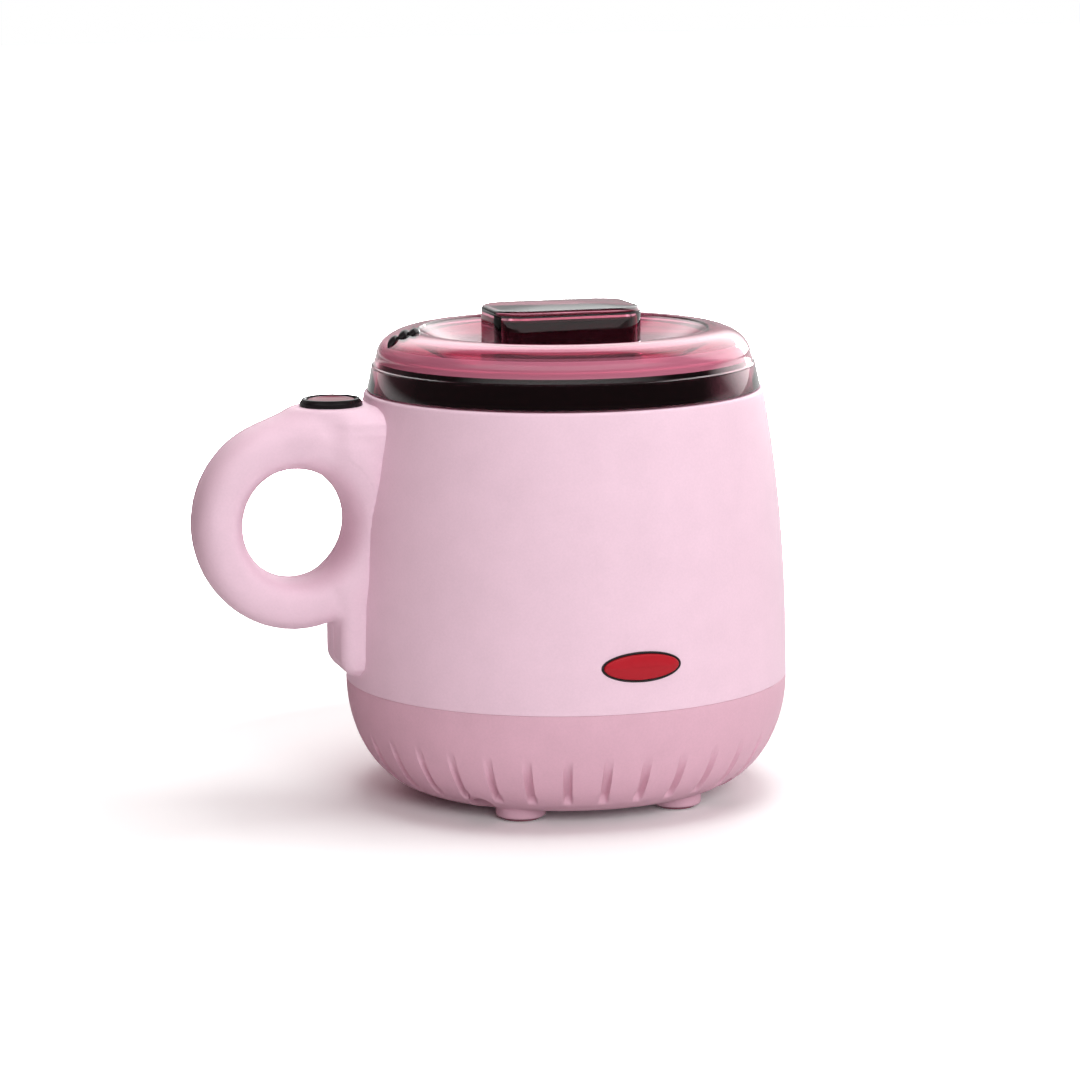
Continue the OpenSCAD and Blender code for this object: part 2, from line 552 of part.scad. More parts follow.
// Rivets end inside the flange's thickness so that the pot still sits flat
module rim_rivets() color(zinc) at_rivets() translate([0, 0, pot_flange_z + flange_t])
  cylinder(r = 1.2, h = 3.7, $fn = 24);

// ---- Lid ----

dome_z = crest_z - 8.4;
module lid_outline() {
  polygon(concat([[61.9, lid_foot_z], [60.9, 132.6], [59.2, 138.6]],
    arc(47.4, dome_z, 11.5, 8.4, 4, 90, 14), [[dish_rim_r + 0.6, crest_z - 0.1],
      [dish_rim_r, crest_z - 0.7], [dish_floor_r, dish_z], [0, dish_z], [0, dish_z - lid_t],
      [dish_floor_r - 0.8, dish_z - lid_t], [dish_rim_r - 1.6, crest_z - 3]],
    arc(47.2, dome_z, 9.6, 6.3, 100, 22, 9),
    [[54.8, 141.2], [54.6, rim_top_z + 0.3], [57, rim_top_z + 0.3], [59.9, lid_foot_z]]));
}
module vent_block(grow) {
  translate([-vent_x - vent_size[0] / 2 - grow, -vent_size[1] / 2 - grow, 140])
    cube([vent_size[0] + 2 * grow, vent_size[1] + 2 * grow, 12]);
}
module lid_shell() color(magenta) difference() {
  rotate_extrude($fn = 180) lid_outline();
  for (side = [-1, 1]) translate([side * 11, 0, dish_z - 5]) cylinder(r = 1.7, h = 9, $fn = 32);
  vent_block(fit);
}
module lid_vent() color(black) difference() {
  intersection() {
    vent_block(0);
    rotate_extrude($fn = 180) polygon(concat([[40, 140], [40, crest_z - 1]],
      arc(47.4, dome_z, 11.8, 8.8, 95, 4, 14), [[57, 140]]));
  }
  rotate_extrude($fn = 180) polygon(concat([[40, 138], [40, crest_z - 4]],
    arc(47.2, dome_z, 9.3, 6, 95, 4, 10), [[54, 138]]));
  for (i = [-1.5:1.5]) translate([-vent_x + i * 2.2 - 0.45, -3.4, 138]) cube([0.9, 6.8, 14]);
}

// Rounded block of length l and width w from z = 0, with a softened top edge
module knob_block(l, w, h, r, soft) {
  hull() for (x = [-1, 1], y = [-1, 1]) translate([x * (l / 2 - r), y * (w / 2 - r), 0]) {
    cylinder(r = r, h = h - soft, $fn = 32);
    cylinder(r = r - soft, h = h, $fn = 32);
    cylinder(r = r - soft * 0.3, h = h - soft * 0.3, $fn = 32);
  }
}
knob_wall = 1.8;
knob_h = knob_top_z - dish_z;
module lid_knob() color(magenta) translate([0, 0, dish_z]) difference() {
  knob_block(knob_l, knob_w, knob_h, 10, 1.4);
  translate([0, 0, -cut])
    knob_block(knob_l - 2 * knob_wall, knob_w - 2 * knob_wall, knob_h - 2.6 + cut, 8 - knob_wall, 0.6);
}
module knob_core() color(black) translate([0, 0, dish_z]) difference() {
  knob_block(knob_l - 2 * knob_wall - 0.4, knob_w - 2 * knob_wall - 0.4, knob_h - 4.4, 8 - knob_wall, 0.6);
  for (side = [-1, 1]) translate([side * 11, 0, -cut]) cylinder(r = 1.5 + hole_play, h = 8.5, $fn = 32);
}
module knob_screws() color(zinc) for (side = [-1, 1]) translate([side * 11, 0, dish_z - lid_t])
  pan_screw(1.5, 9, 2.8, 1.9);

outer_shell();
base_cup();
foot_pads();
base_screws();
handle_front();
handle_rear();
handle_screws();
button_bezel();
power_button();
button_spring();
button_switch();
switch_board();
indicator_lens();
lamp_seal();
indicator_led();
lamp_holder();
heater_well();
well_seal();
heater_band();
band_clamp();
clamp_screw();
insulation_sleeve();
thermostat();
thermostat_clip();
thermal_fuse();
fuse_clip();
well_stud();
stud_nut();
heat_shield();
shield_screws();
control_board();
board_screws();
power_relay();
terminal_block();
filter_capacitor();
control_chip();
cord_gland();
heater_leads();
switch_lead();
lamp_lead();
thermostat_leads();
wax_pot();
pot_rim();
rim_rivets();
lid_shell();
lid_vent();
lid_knob();
knob_core();
knob_screws();
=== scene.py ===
import json
import math
import bmesh
import bpy
import numpy as np
from mathutils import Matrix, Vector


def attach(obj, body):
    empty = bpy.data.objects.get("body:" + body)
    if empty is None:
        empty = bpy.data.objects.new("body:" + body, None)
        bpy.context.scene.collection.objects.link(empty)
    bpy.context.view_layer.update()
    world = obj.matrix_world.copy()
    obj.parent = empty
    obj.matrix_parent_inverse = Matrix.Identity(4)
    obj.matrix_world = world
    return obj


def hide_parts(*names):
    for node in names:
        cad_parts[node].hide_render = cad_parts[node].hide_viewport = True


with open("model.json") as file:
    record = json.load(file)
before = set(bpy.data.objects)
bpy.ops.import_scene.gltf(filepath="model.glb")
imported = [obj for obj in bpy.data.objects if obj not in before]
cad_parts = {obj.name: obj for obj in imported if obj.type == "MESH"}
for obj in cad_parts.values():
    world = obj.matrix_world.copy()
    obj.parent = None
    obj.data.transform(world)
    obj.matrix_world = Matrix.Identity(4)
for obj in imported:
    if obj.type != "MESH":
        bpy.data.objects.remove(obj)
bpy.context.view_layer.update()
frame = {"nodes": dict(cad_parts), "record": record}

mm = 0.001
print("frame loaded:", len(frame["nodes"]), "solids")


# links a socket to an input, or sets the input to a plain value
def feed(tree, socket, value):
    if isinstance(value, bpy.types.NodeSocket):
        tree.links.new(value, socket)
    else:
        socket.default_value = value


def calc(tree, operation, *values):
    node = tree.nodes.new("ShaderNodeMath")
    node.operation = operation
    for socket, value in zip(node.inputs, values):
        feed(tree, socket, value)
    return node.outputs[0]


def vectorCalc(tree, operation, first, second=None):
    node = tree.nodes.new("ShaderNodeVectorMath")
    node.operation = operation
    feed(tree, node.inputs[0], first)
    if second is not None:
        feed(tree, node.inputs["Scale" if operation == "SCALE" else 1], second)
    return node.outputs["Value" if operation in ("DOT_PRODUCT", "LENGTH") else "Vector"]


# limits are the lowest and highest input, then the outputs at those two
def ramp(tree, value, limits, kind="SMOOTHSTEP"):
    node = tree.nodes.new("ShaderNodeMapRange")
    node.interpolation_type = kind
    for label, given in zip(("Value", "From Min", "From Max", "To Min", "To Max"), (value, *limits)):
        feed(tree, node.inputs[label], given)
    return node.outputs["Result"]


def noise(tree, point, scale, detail):
    node = tree.nodes.new("ShaderNodeTexNoise")
    node.inputs["Detail"].default_value = detail
    feed(tree, node.inputs["Vector"], point)
    feed(tree, node.inputs["Scale"], scale)
    return node.outputs["Fac"]


def mixed(tree, *values):
    node = tree.nodes.new("ShaderNodeMixShader")
    for socket, value in zip(node.inputs, values):
        tree.links.new(value, socket)
    return node.outputs[0]


# a node group with named sockets: inputs are (name, kind) or (name, kind, value), outputs (name, kind)
def newGroup(kind, name, inputs, outputs):
    group = bpy.data.node_groups.new(name, kind)
    for label, socketKind, *value in inputs:
        socket = group.interface.new_socket(label, in_out="INPUT", socket_type="NodeSocket" + socketKind)
        if value:
            socket.default_value = value[0]
    for label, socketKind in outputs:
        group.interface.new_socket(label, in_out="OUTPUT", socket_type="NodeSocket" + socketKind)
    return group, group.nodes.new("NodeGroupInput").outputs, group.nodes.new("NodeGroupOutput").inputs


# the camera's place, its turns in degrees and its lens in millimetres
view = {"place": (-0.3327, -1.1530, 0.2849), "yaw": -15.72, "pitch": 9.684, "roll": 0.592, "lens": 127.99}


def linked(name, data):
    made = bpy.data.objects.new(name, data)
    bpy.context.scene.collection.objects.link(made)
    return made


def makeCamera():
    camera = linked("viewCamera", bpy.data.cameras.new("viewCamera"))
    camera.data.lens = view["lens"]
    camera.data.sensor_width = 36
    camera.data.clip_start = 0.05
    turn = Matrix.Rotation(math.radians(view["yaw"]), 4, "Z")
    turn = turn @ Matrix.Rotation(math.radians(90 - view["pitch"]), 4, "X")
    turn = turn @ Matrix.Rotation(math.radians(-view["roll"]), 4, "Z")
    camera.matrix_world = Matrix.Translation(view["place"]) @ turn
    bpy.context.scene.camera = camera


# place, aim, width, height, power in watts, colour, lights matt faces, shows in glossy faces
studio = {
    "keySoftbox": ((0.0, -1.4, 0.6), (0, 0, 0.07), 0.8, 0.6, 10.8, (0.93, 1.0, 1.0), True, False),
    "frontFill": ((0.75, -1.05, 0.75), (0, 0, 0.07), 0.7, 0.7, 1.2, (1, 1, 1), True, False),
    "sideSoftbox": ((1.15, -0.15, 0.4), (0, 0, 0.08), 0.5, 0.6, 2.4, (1, 1, 1), True, False),
    "topSoftbox": ((0.1, 0.0, 1.2), (0, 0, 0.1), 0.9, 0.7, 9.8, (1, 0.99, 1), True, False),
    "rearFill": ((0.55, 1.3, 0.5), (0, 0, 0.07), 0.8, 0.7, 7.0, (1, 0.95, 0.97), True, False),
    "edgeStrip": ((0.8, 0.8, 0.3), (0, 0, 0.13), 0.3, 0.35, 3.0, (1, 1, 1), False, True),
}


def makeLights():
    for name, (place, aim, width, height, power, colour, matt, glossy) in studio.items():
        light = bpy.data.lights.new(name, "AREA")
        light.shape = "RECTANGLE"
        light.size, light.size_y = width, height
        light.energy = power
        light.color = colour
        box = linked(name, light)
        box.location = place
        box.rotation_euler = (Vector(aim) - Vector(place)).to_track_quat("-Z", "Y").to_euler()
        box.visible_diffuse, box.visible_glossy, box.visible_transmission = matt, glossy, False


# what shiny and clear faces show: a white screen behind that is dim to the left and brighter higher up,
# a softbox over the front, a round glow to the right, and a lit ceiling for clear faces
# limits say how far a direction points up, or the named way, from -1 to 1
room = {"behind": (0.277, 0.961, 0.0), "start": 0.1, "full": 0.5, "screenTop": 0.68, "screenEnd": 0.80,
        "left": (-0.961, 0.277, 0.0), "dimStart": 0.25, "dimFull": 0.7, "dim": 0.15,
        "liftLow": 0.12, "liftHigh": 0.48, "low": 0.45, "lift": 2.7,
        "boxLow": 0.36, "boxFull": 0.52, "boxHigh": 0.72, "boxEnd": 0.86, "box": 1.5,
        "glowTo": (0.74, 0.50, 0.45), "glowEdge": 0.76, "glowFull": 0.93, "glow": 3.4,
        "ceiling": 0.72, "ceilingFull": 0.92, "ceilingLight": 1.5, "horizon": 0.06, "dark": 0.07,
        "ambient": 0.17, "ambientTint": (1.0, 0.42, 0.52)}


def makeWorld():
    world = bpy.data.worlds.new("studioWorld")
    bpy.context.scene.world = world
    world.use_nodes = True
    tree = world.node_tree
    tree.nodes.clear()
    where = tree.nodes.new("ShaderNodeTexCoord").outputs["Generated"]
    split = tree.nodes.new("ShaderNodeSeparateXYZ")
    tree.links.new(where, split.inputs[0])
    up = split.outputs["Z"]

    def along(direction):
        return vectorCalc(tree, "DOT_PRODUCT", where, direction)

    # low and high name two entries of the room, a and b are the values there
    def fade(value, low, high, a, b):
        return ramp(tree, value, (room[low], room[high], a, b))

    def both(a, b):
        return calc(tree, "MULTIPLY", a, b)

    def brighter(a, b):
        return calc(tree, "MAXIMUM", a, b)

    def shine(strength, colour=(1, 1, 1)):
        node = tree.nodes.new("ShaderNodeBackground")
        node.inputs["Color"].default_value = (*colour, 1)
        feed(tree, node.inputs["Strength"], strength)
        return node.outputs[0]

    forward = along(room["behind"])
    screen = both(fade(forward, "start", "full", 0, 1), fade(up, "screenTop", "screenEnd", 1, 0))
    screen = both(screen, fade(along(room["left"]), "dimStart", "dimFull", 1, room["dim"]))
    shaded = both(screen, fade(up, "liftLow", "liftHigh", room["low"], room["lift"]))
    ground = ramp(tree, up, (0, room["horizon"], 1, room["dark"]))
    front = ramp(tree, forward, (-room["full"], -room["start"], room["box"], 0))
    softbox = both(front, both(fade(up, "boxLow", "boxFull", 0, 1), fade(up, "boxHigh", "boxEnd", 1, 0)))
    glow = fade(along(room["glowTo"]), "glowEdge", "glowFull", 0, room["glow"])
    mirrored = brighter(brighter(shaded, ground), brighter(softbox, glow))
    ceiling = fade(up, "ceiling", "ceilingFull", 0, room["ceilingLight"])
    through = brighter(brighter(screen, ground), ceiling)
    path = tree.nodes.new("ShaderNodeLightPath").outputs
    seen = mixed(tree, path["Is Glossy Ray"], shine(room["ambient"], room["ambientTint"]), shine(mirrored))
    seen = mixed(tree, path["Is Transmission Ray"], seen, shine(through))
    seen = mixed(tree, path["Is Camera Ray"], seen, shine(1.0))
    tree.links.new(seen, tree.nodes.new("ShaderNodeOutputWorld").inputs["Surface"])


# fade is a span of distances, shade what the camera sees at its ends, front a share of mirrored light
stage = {"half": 6.0, "fade": (0.15, 0.8), "shade": (1.15, 14.0), "tint": (0.94, 1.0, 0.97), "grey": 0.8,
         "mirrored": 0.95, "turn": (-0.4, 0.1), "front": 0.3}


def makeFloor():
    half = stage["half"]
    mesh = bpy.data.meshes.new("floor")
    mesh.from_pydata([(-half, -half, 0), (half, -half, 0), (half, half, 0), (-half, half, 0)], [], [(0, 1, 2, 3)])
    floor = linked("floor", mesh)
    paint = bpy.data.materials.new("paleFloor")
    paint.use_nodes = True
    paint.cycles.emission_sampling = "NONE"
    tree = paint.node_tree
    tree.nodes.clear()
    spot = tree.nodes.new("ShaderNodeTexCoord").outputs["Object"]
    plain = tree.nodes.new("ShaderNodeBsdfDiffuse")    # what lights the object
    plain.inputs["Color"].default_value = (stage["grey"], stage["grey"], stage["grey"], 1)
    bright = tree.nodes.new("ShaderNodeBsdfDiffuse")   # what the camera sees: white far away, a little tinted
    away = ramp(tree, vectorCalc(tree, "LENGTH", spot), stage["fade"] + stage["shade"], "LINEAR")
    feed(tree, bright.inputs["Color"], vectorCalc(tree, "SCALE", stage["tint"], away))
    white = tree.nodes.new("ShaderNodeEmission")       # what glossy and clear faces show
    way = vectorCalc(tree, "NORMALIZE", spot)
    back = ramp(tree, vectorCalc(tree, "DOT_PRODUCT", way, room["behind"]), (*stage["turn"], stage["front"], 1),
                "LINEAR")
    left = ramp(tree, vectorCalc(tree, "DOT_PRODUCT", way, room["left"]),
                (room["dimStart"], room["dimFull"], 1, room["dim"]), "LINEAR")
    level = calc(tree, "MULTIPLY", calc(tree, "MULTIPLY", back, left), stage["mirrored"])
    feed(tree, white.inputs["Strength"], level)
    path = tree.nodes.new("ShaderNodeLightPath").outputs
    either = calc(tree, "MAXIMUM", path["Is Glossy Ray"], path["Is Transmission Ray"])
    shown = mixed(tree, either, plain.outputs[0], white.outputs[0])
    shown = mixed(tree, path["Is Camera Ray"], shown, bright.outputs[0])
    tree.links.new(shown, tree.nodes.new("ShaderNodeOutputMaterial").inputs["Surface"])
    mesh.materials.append(paint)


makeCamera()
makeLights()
makeWorld()
makeFloor()
bpy.context.scene.view_settings.view_transform = "Standard"
print("camera, lights and floor made")


# what each shared shader effect gives back
dressing = [("Colour", "Color"), ("Roughness", "Float"), ("Height", "Float")]


# lets a pattern around zero vary the given colour and roughness
def vary(group, given, result, pattern, amount):
    shift = calc(group, "MULTIPLY_ADD", pattern, amount, 1.0)
    feed(group, result["Colour"], vectorCalc(group, "SCALE", given["Colour"], shift))
    feed(group, result["Roughness"], calc(group, "MULTIPLY", shift, given["Roughness"]))


def mouldGrainGroup():
    group, given, result = newGroup("ShaderNodeTree", "mouldGrain", [
        ("Point", "Vector"), ("Colour", "Color", (0.8, 0.8, 0.8, 1)), ("Grain Size", "Float", 900.0),
        ("Mottle", "Float", 0.05), ("Roughness", "Float", 0.5)], dressing)
    grain = noise(group, given["Point"], given["Grain Size"], 3.0)
    cloud = noise(group, given["Point"], 90.0, 4.0)
    centred = calc(group, "SUBTRACT", calc(group, "ADD", grain, cloud), 1.0)
    vary(group, given, result, centred, given["Mottle"])
    feed(group, result["Height"], grain)
    return group


def turnedMarksGroup():
    group, given, result = newGroup("ShaderNodeTree", "turnedMarks", [
        ("Point", "Vector"), ("Colour", "Color", (0.8, 0.8, 0.8, 1)), ("Stretch", "Vector", (0.0, 0.0, 1.0)),
        ("Line Size", "Float", 1500.0), ("Contrast", "Float", 0.1), ("Roughness", "Float", 0.3)], dressing)
    stretched = vectorCalc(group, "MULTIPLY", given["Point"], given["Stretch"])
    lines = noise(group, stretched, given["Line Size"], 5.0)
    vary(group, given, result, calc(group, "SUBTRACT", lines, 0.5), given["Contrast"])
    feed(group, result["Height"], lines)
    return group


mouldGrain = mouldGrainGroup()
turnedMarks = turnedMarksGroup()


def newPaint(name):
    paint = bpy.data.materials.new(name)
    paint.use_nodes = True
    tree = paint.node_tree
    return paint, tree, tree.nodes["Principled BSDF"], tree.nodes.new("ShaderNodeTexCoord").outputs["Object"]


def dressedMaterial(name, group, values, shader, bump):
    paint, tree, surface, point = newPaint(name)
    for label, value in shader.items():
        surface.inputs[label].default_value = value
    effect = tree.nodes.new("ShaderNodeGroup")
    effect.node_tree = group
    for label, value in {**values, "Point": point}.items():
        feed(tree, effect.inputs[label], value)
    relief = tree.nodes.new("ShaderNodeBump")
    relief.inputs["Strength"].default_value = bump
    relief.inputs["Distance"].default_value = 0.1 * mm
    for source, target in ((effect.outputs["Colour"], surface.inputs["Base Color"]),
                           (effect.outputs["Roughness"], surface.inputs["Roughness"]),
                           (effect.outputs["Height"], relief.inputs["Height"]),
                           (relief.outputs["Normal"], surface.inputs["Normal"])):
        tree.links.new(source, target)
    return paint


def mouldedPlastic(name, colour, roughness, grain=900.0, mottle=0.05, bump=0.15, **shader):
    values = {"Colour": (*colour, 1), "Grain Size": grain, "Mottle": mottle, "Roughness": roughness}
    return dressedMaterial(name, mouldGrain, values, shader, bump)


def turnedMetal(name, colour, roughness, stretch=(0.0, 0.0, 1.0), contrast=0.15, bump=0.1, metallic=1.0):
    values = {"Colour": (*colour, 1), "Stretch": stretch, "Contrast": contrast, "Roughness": roughness}
    return dressedMaterial(name, turnedMarks, values, {"Metallic": metallic}, bump)


# scatter is the share of light that a milky plastic throws back
def clearPlastic(name, colour, roughness, scatter=0.0):
    paint, tree, surface, point = newPaint(name)
    surface.inputs["Base Color"].default_value = (*colour, 1)
    surface.inputs["Transmission Weight"].default_value = 1.0 - scatter
    surface.inputs["IOR"].default_value = 1.49
    spread = ramp(tree, noise(tree, point, 60.0, 3.0), (0, 1, roughness * 0.5, roughness * 1.5), "LINEAR")
    tree.links.new(spread, surface.inputs["Roughness"])
    return paint


palette = {
    "shellPink": (0.87, 0.645, 0.745),
    "basePink": (0.75, 0.465, 0.56),
    "lidMagenta": (0.80, 0.29, 0.40),
    "hazyMagenta": (0.86, 0.27, 0.40),
    "collarBlack": (0.012, 0.010, 0.011),
    "lampRed": (0.45, 0.014, 0.024),
    "buttonPlum": (0.19, 0.03, 0.055),
}

finish = {
    "shell_pink": mouldedPlastic("satinPink", palette["shellPink"], 0.5, 1400, 0.10, 0.12,
                                 **{"Specular IOR Level": 0.35, "Sheen Weight": 0.05, "Sheen Roughness": 0.4}),
    "base_pink": mouldedPlastic("satinDustyPink", palette["basePink"], 0.52, 1400, 0.12, 0.14,
                                **{"Specular IOR Level": 0.32}),
    # the pads' colour is partly the rubber's own darker tone and partly painted shade for where they sit under the
    # base
    "foot_rubber": mouldedPlastic("footRubber", (0.33, 0.13, 0.17), 0.62, 1100, 0.14, 0.25),
    "black_plastic": mouldedPlastic("pianoBlack", palette["collarBlack"], 0.22, 500, 0.1, 0.01,
                                    **{"Specular IOR Level": 0.2}),
    "black_rubber": mouldedPlastic("glandRubber", (0.018, 0.018, 0.018), 0.6, 1200, 0.2, 0.25),
    "lid_magenta": clearPlastic("clearMagenta", palette["lidMagenta"], 0.02),
    "button_magenta": mouldedPlastic("buttonPlum", palette["buttonPlum"], 0.34, 600, 0.08, 0.02,
                                     **{"Specular IOR Level": 0.3}),
    "lamp_red": mouldedPlastic("lampRed", palette["lampRed"], 0.3, 700, 0.08, 0.02,
                               **{"Specular IOR Level": 0.3}),
    "pot_metal": turnedMetal("spunAluminium", (0.84, 0.84, 0.85), 0.5, (0.02, 0.02, 1.0), 0.2, 0.08, 0.7),
    "heater_metal": turnedMetal("pressedAluminium", (0.68, 0.69, 0.70), 0.38, (0.1, 0.1, 1.0), 0.2, 0.1),
    "zinc_steel": turnedMetal("zincPlate", (0.60, 0.61, 0.62), 0.32, (1.0, 1.0, 0.3), 0.25, 0.12),
    "mica": mouldedPlastic("micaSheet", (0.36, 0.31, 0.22), 0.35, 300, 0.5, 0.2),
    "fibre": mouldedPlastic("glassFelt", (0.72, 0.68, 0.56), 0.9, 500, 0.35, 0.8),
    "silicone": mouldedPlastic("greySilicone", (0.07, 0.07, 0.075), 0.55, 900, 0.1, 0.15),
    "board_green": mouldedPlastic("boardGreen", (0.02, 0.11, 0.05), 0.35, 350, 0.35, 0.1),
    "phenolic_black": mouldedPlastic("phenolicBlack", (0.02, 0.018, 0.017), 0.4, 800, 0.25, 0.2),
    "relay_blue": mouldedPlastic("relayBlue", (0.02, 0.06, 0.24), 0.4, 800, 0.1, 0.1),
    "terminal_green": mouldedPlastic("terminalGreen", (0.03, 0.16, 0.06), 0.45, 800, 0.1, 0.12),
    "film_yellow": mouldedPlastic("filmYellow", (0.50, 0.33, 0.02), 0.4, 700, 0.1, 0.1),
    "ceramic_white": mouldedPlastic("bareCeramic", (0.66, 0.60, 0.48), 0.75, 900, 0.15, 0.3),
    "wire_white": mouldedPlastic("glassSleeve", (0.66, 0.63, 0.56), 0.8, 2500, 0.35, 0.6),
    "wire_grey": mouldedPlastic("greyWire", (0.05, 0.05, 0.06), 0.4, 900, 0.08, 0.05),
    "wire_red": mouldedPlastic("redWire", (0.40, 0.02, 0.015), 0.4, 900, 0.08, 0.05),
    "holder_cream": mouldedPlastic("creamNylon", (0.66, 0.62, 0.52), 0.5, 900, 0.08, 0.1),
}
slotOf = {part["node"]: part["material_slot"] for part in frame["record"]["subparts"]}
for node, solid in frame["nodes"].items():
    solid.data.materials.clear()
    solid.data.materials.append(finish[slotOf[node]])
print("finishes made:", len(finish))


# adds a finished piece that rides on a body in the place of a solid
def place(name, mesh, node, body):
    piece = linked(name, mesh)
    if not mesh.materials:
        mesh.materials.append(finish[slotOf[node]])
    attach(piece, body)
    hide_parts(node)


def smoothed(mesh, sharpAngle=35):
    mesh.shade_smooth()
    mesh.set_sharp_from_angle(angle=math.radians(sharpAngle))
    return mesh


def meshOf(bm, name, sharpAngle=35):
    mesh = bpy.data.meshes.new(name)
    bm.to_mesh(mesh)
    bm.free()
    return smoothed(mesh, sharpAngle)


# solid through rings of points in millimetres, capped at its ends, or closed from the last ring to the first
def meshOfRings(name, rings, closed=False, sharpAngle=40):
    bm = bmesh.new()
    made = [[bm.verts.new(Vector(p) * mm) for p in ring] for ring in rings]
    count = len(made[0])
    for i in range(len(made) if closed else len(made) - 1):
        low, high = made[i], made[(i + 1) % len(made)]
        for k in range(count):
            n = (k + 1) % count
            bm.faces.new((low[k], low[n], high[n], high[k]))
    if not closed:
        bm.faces.new(made[0][::-1])
        bm.faces.new(made[-1])
    bmesh.ops.recalc_face_normals(bm, faces=bm.faces)
    return meshOf(bm, name, sharpAngle)


# rounds each corner [r, z, radius] of a closed outline, in millimetres
def rounded(corners, steps=5):
    points = []
    count = len(corners)
    for i, (r, z, radius) in enumerate(corners):
        here = Vector((r, z))
        if radius <= 0:
            points.append(here)
            continue
        before = Vector(corners[i - 1][:2]) - here
        after = Vector(corners[(i + 1) % count][:2]) - here
        angle = before.angle(after)
        reach = min(radius / math.tan(angle / 2), before.length * 0.49, after.length * 0.49)
        fillet = reach * math.tan(angle / 2)
        centre = here + (before.normalized() + after.normalized()).normalized() * (fillet / math.sin(angle / 2))
        start = here + before.normalized() * reach - centre
        end = here + after.normalized() * reach - centre
        sweep = start.angle_signed(end) * -1
        for k in range(steps + 1):
            turned = Matrix.Rotation(sweep * k / steps, 2) @ start
            points.append(centre + turned)
    return points


# closed solid of revolution about +Z from an outline in millimetres, at the given angles
def latheMesh(name, outline, angles, centre=(0.0, 0.0), sharpAngle=35):
    bm = bmesh.new()
    rings = []
    for point in outline:
        r, z = point[0], point[1]
        if r < 1e-6:
            pole = bm.verts.new((centre[0] * mm, centre[1] * mm, z * mm))
            rings.append([pole] * len(angles))
        else:
            rings.append([bm.verts.new(((centre[0] + r * math.cos(a)) * mm,
                                        (centre[1] + r * math.sin(a)) * mm, z * mm)) for a in angles])
    count = len(rings)
    for i in range(count):
        low, high = rings[i], rings[(i + 1) % count]
        if low[0] is low[1] and high[0] is high[1]:
            continue
        for k in range(len(angles)):
            n = (k + 1) % len(angles)
            corners = []
            for v in (low[k], low[n], high[n], high[k]):
                if v not in corners:
                    corners.append(v)
            bm.faces.new(corners)
    bmesh.ops.recalc_face_normals(bm, faces=bm.faces)
    return meshOf(bm, name, sharpAngle)


def evenAngles(count):
    return [2 * math.pi * k / count for k in range(count)]


def arcPoints(cx, cz, a, b, start, end, steps):
    return [(cx + a * math.cos(math.radians(start + (end - start) * k / steps)),
             cz + b * math.sin(math.radians(start + (end - start) * k / steps))) for k in range(steps + 1)]


# places on a circle about +Z, in millimetres, at angles in degrees
def around(radius, angles):
    return [(radius * math.cos(math.radians(a)), radius * math.sin(math.radians(a))) for a in angles]


# plain mesh of an object as its modifiers leave it
def evaluated(carrier, name, sharpAngle):
    bpy.context.view_layer.update()
    mesh = bpy.data.meshes.new_from_object(carrier.evaluated_get(bpy.context.evaluated_depsgraph_get()))
    mesh.name = name
    return smoothed(mesh, sharpAngle)


# cuts one mesh by others and returns the result
def carve(mesh, cutters, sharpAngle=35):
    carved = linked("carved", mesh)
    tools = [linked("cutter%d" % k, cutter) for k, cutter in enumerate(cutters)]
    for k, tool in enumerate(tools):
        step = carved.modifiers.new("cut%d" % k, "BOOLEAN")
        step.operation = "DIFFERENCE"
        step.solver = "EXACT"
        step.object = tool
    result = evaluated(carved, mesh.name, sharpAngle)
    for piece in [carved] + tools:
        bpy.data.objects.remove(piece)
    return result


def joined(name, meshes, sharpAngle=35):
    bm = bmesh.new()
    for mesh in meshes:
        bm.from_mesh(mesh)
    return meshOf(bm, name, sharpAngle)


# upright cutter of stadium section that runs outwards from a point by the given length
def slot(name, x, y, length, radius, low, high, steps=20):
    turn = math.atan2(y, x)
    ring = []
    for shift, start in ((length, -90), (0, 90)):
        for k in range(steps + 1):
            a = math.radians(start + 180 * k / steps)
            ring.append((shift + radius * math.cos(a), radius * math.sin(a)))
    ring = [(x + u * math.cos(turn) - v * math.sin(turn), y + u * math.sin(turn) + v * math.cos(turn))
            for u, v in ring]
    return meshOfRings(name, [[(u, v, z) for u, v in ring] for z in (low, high)])


def block(name, low, high, turn=0.0):
    bm = bmesh.new()
    bmesh.ops.create_cube(bm, size=1)
    size = [(high[i] - low[i]) * mm for i in range(3)]
    middle = Vector([(high[i] + low[i]) * mm / 2 for i in range(3)])
    bm.transform(Matrix.Rotation(turn, 4, "Z") @ Matrix.Translation(middle) @ Matrix.Diagonal((*size, 1)))
    return meshOf(bm, name)


# ends a geometry tree: plain mesh, one material
def finishTree(tree, geometry, given, result):
    real = tree.nodes.new("GeometryNodeRealizeInstances")
    paint = tree.nodes.new("GeometryNodeSetMaterial")
    tree.links.new(geometry, real.inputs[0])
    tree.links.new(real.outputs[0], paint.inputs["Geometry"])
    tree.links.new(given["Finish"], paint.inputs["Material"])
    tree.links.new(paint.outputs[0], result[0])


# runs a tree on a mesh with the named values and returns a plain mesh
def grown(name, mesh, tree, values, sharpAngle=35):
    carrier = linked("carrier", mesh)
    step = carrier.modifiers.new("grow", "NODES")
    step.node_group = tree
    for socket in tree.interface.items_tree:
        if socket.item_type == "SOCKET" and socket.in_out == "INPUT" and socket.name in values:
            step[socket.identifier] = values[socket.name]
    result = evaluated(carrier, name, sharpAngle)
    carrier.modifiers.clear()
    bpy.data.objects.remove(carrier)
    return result


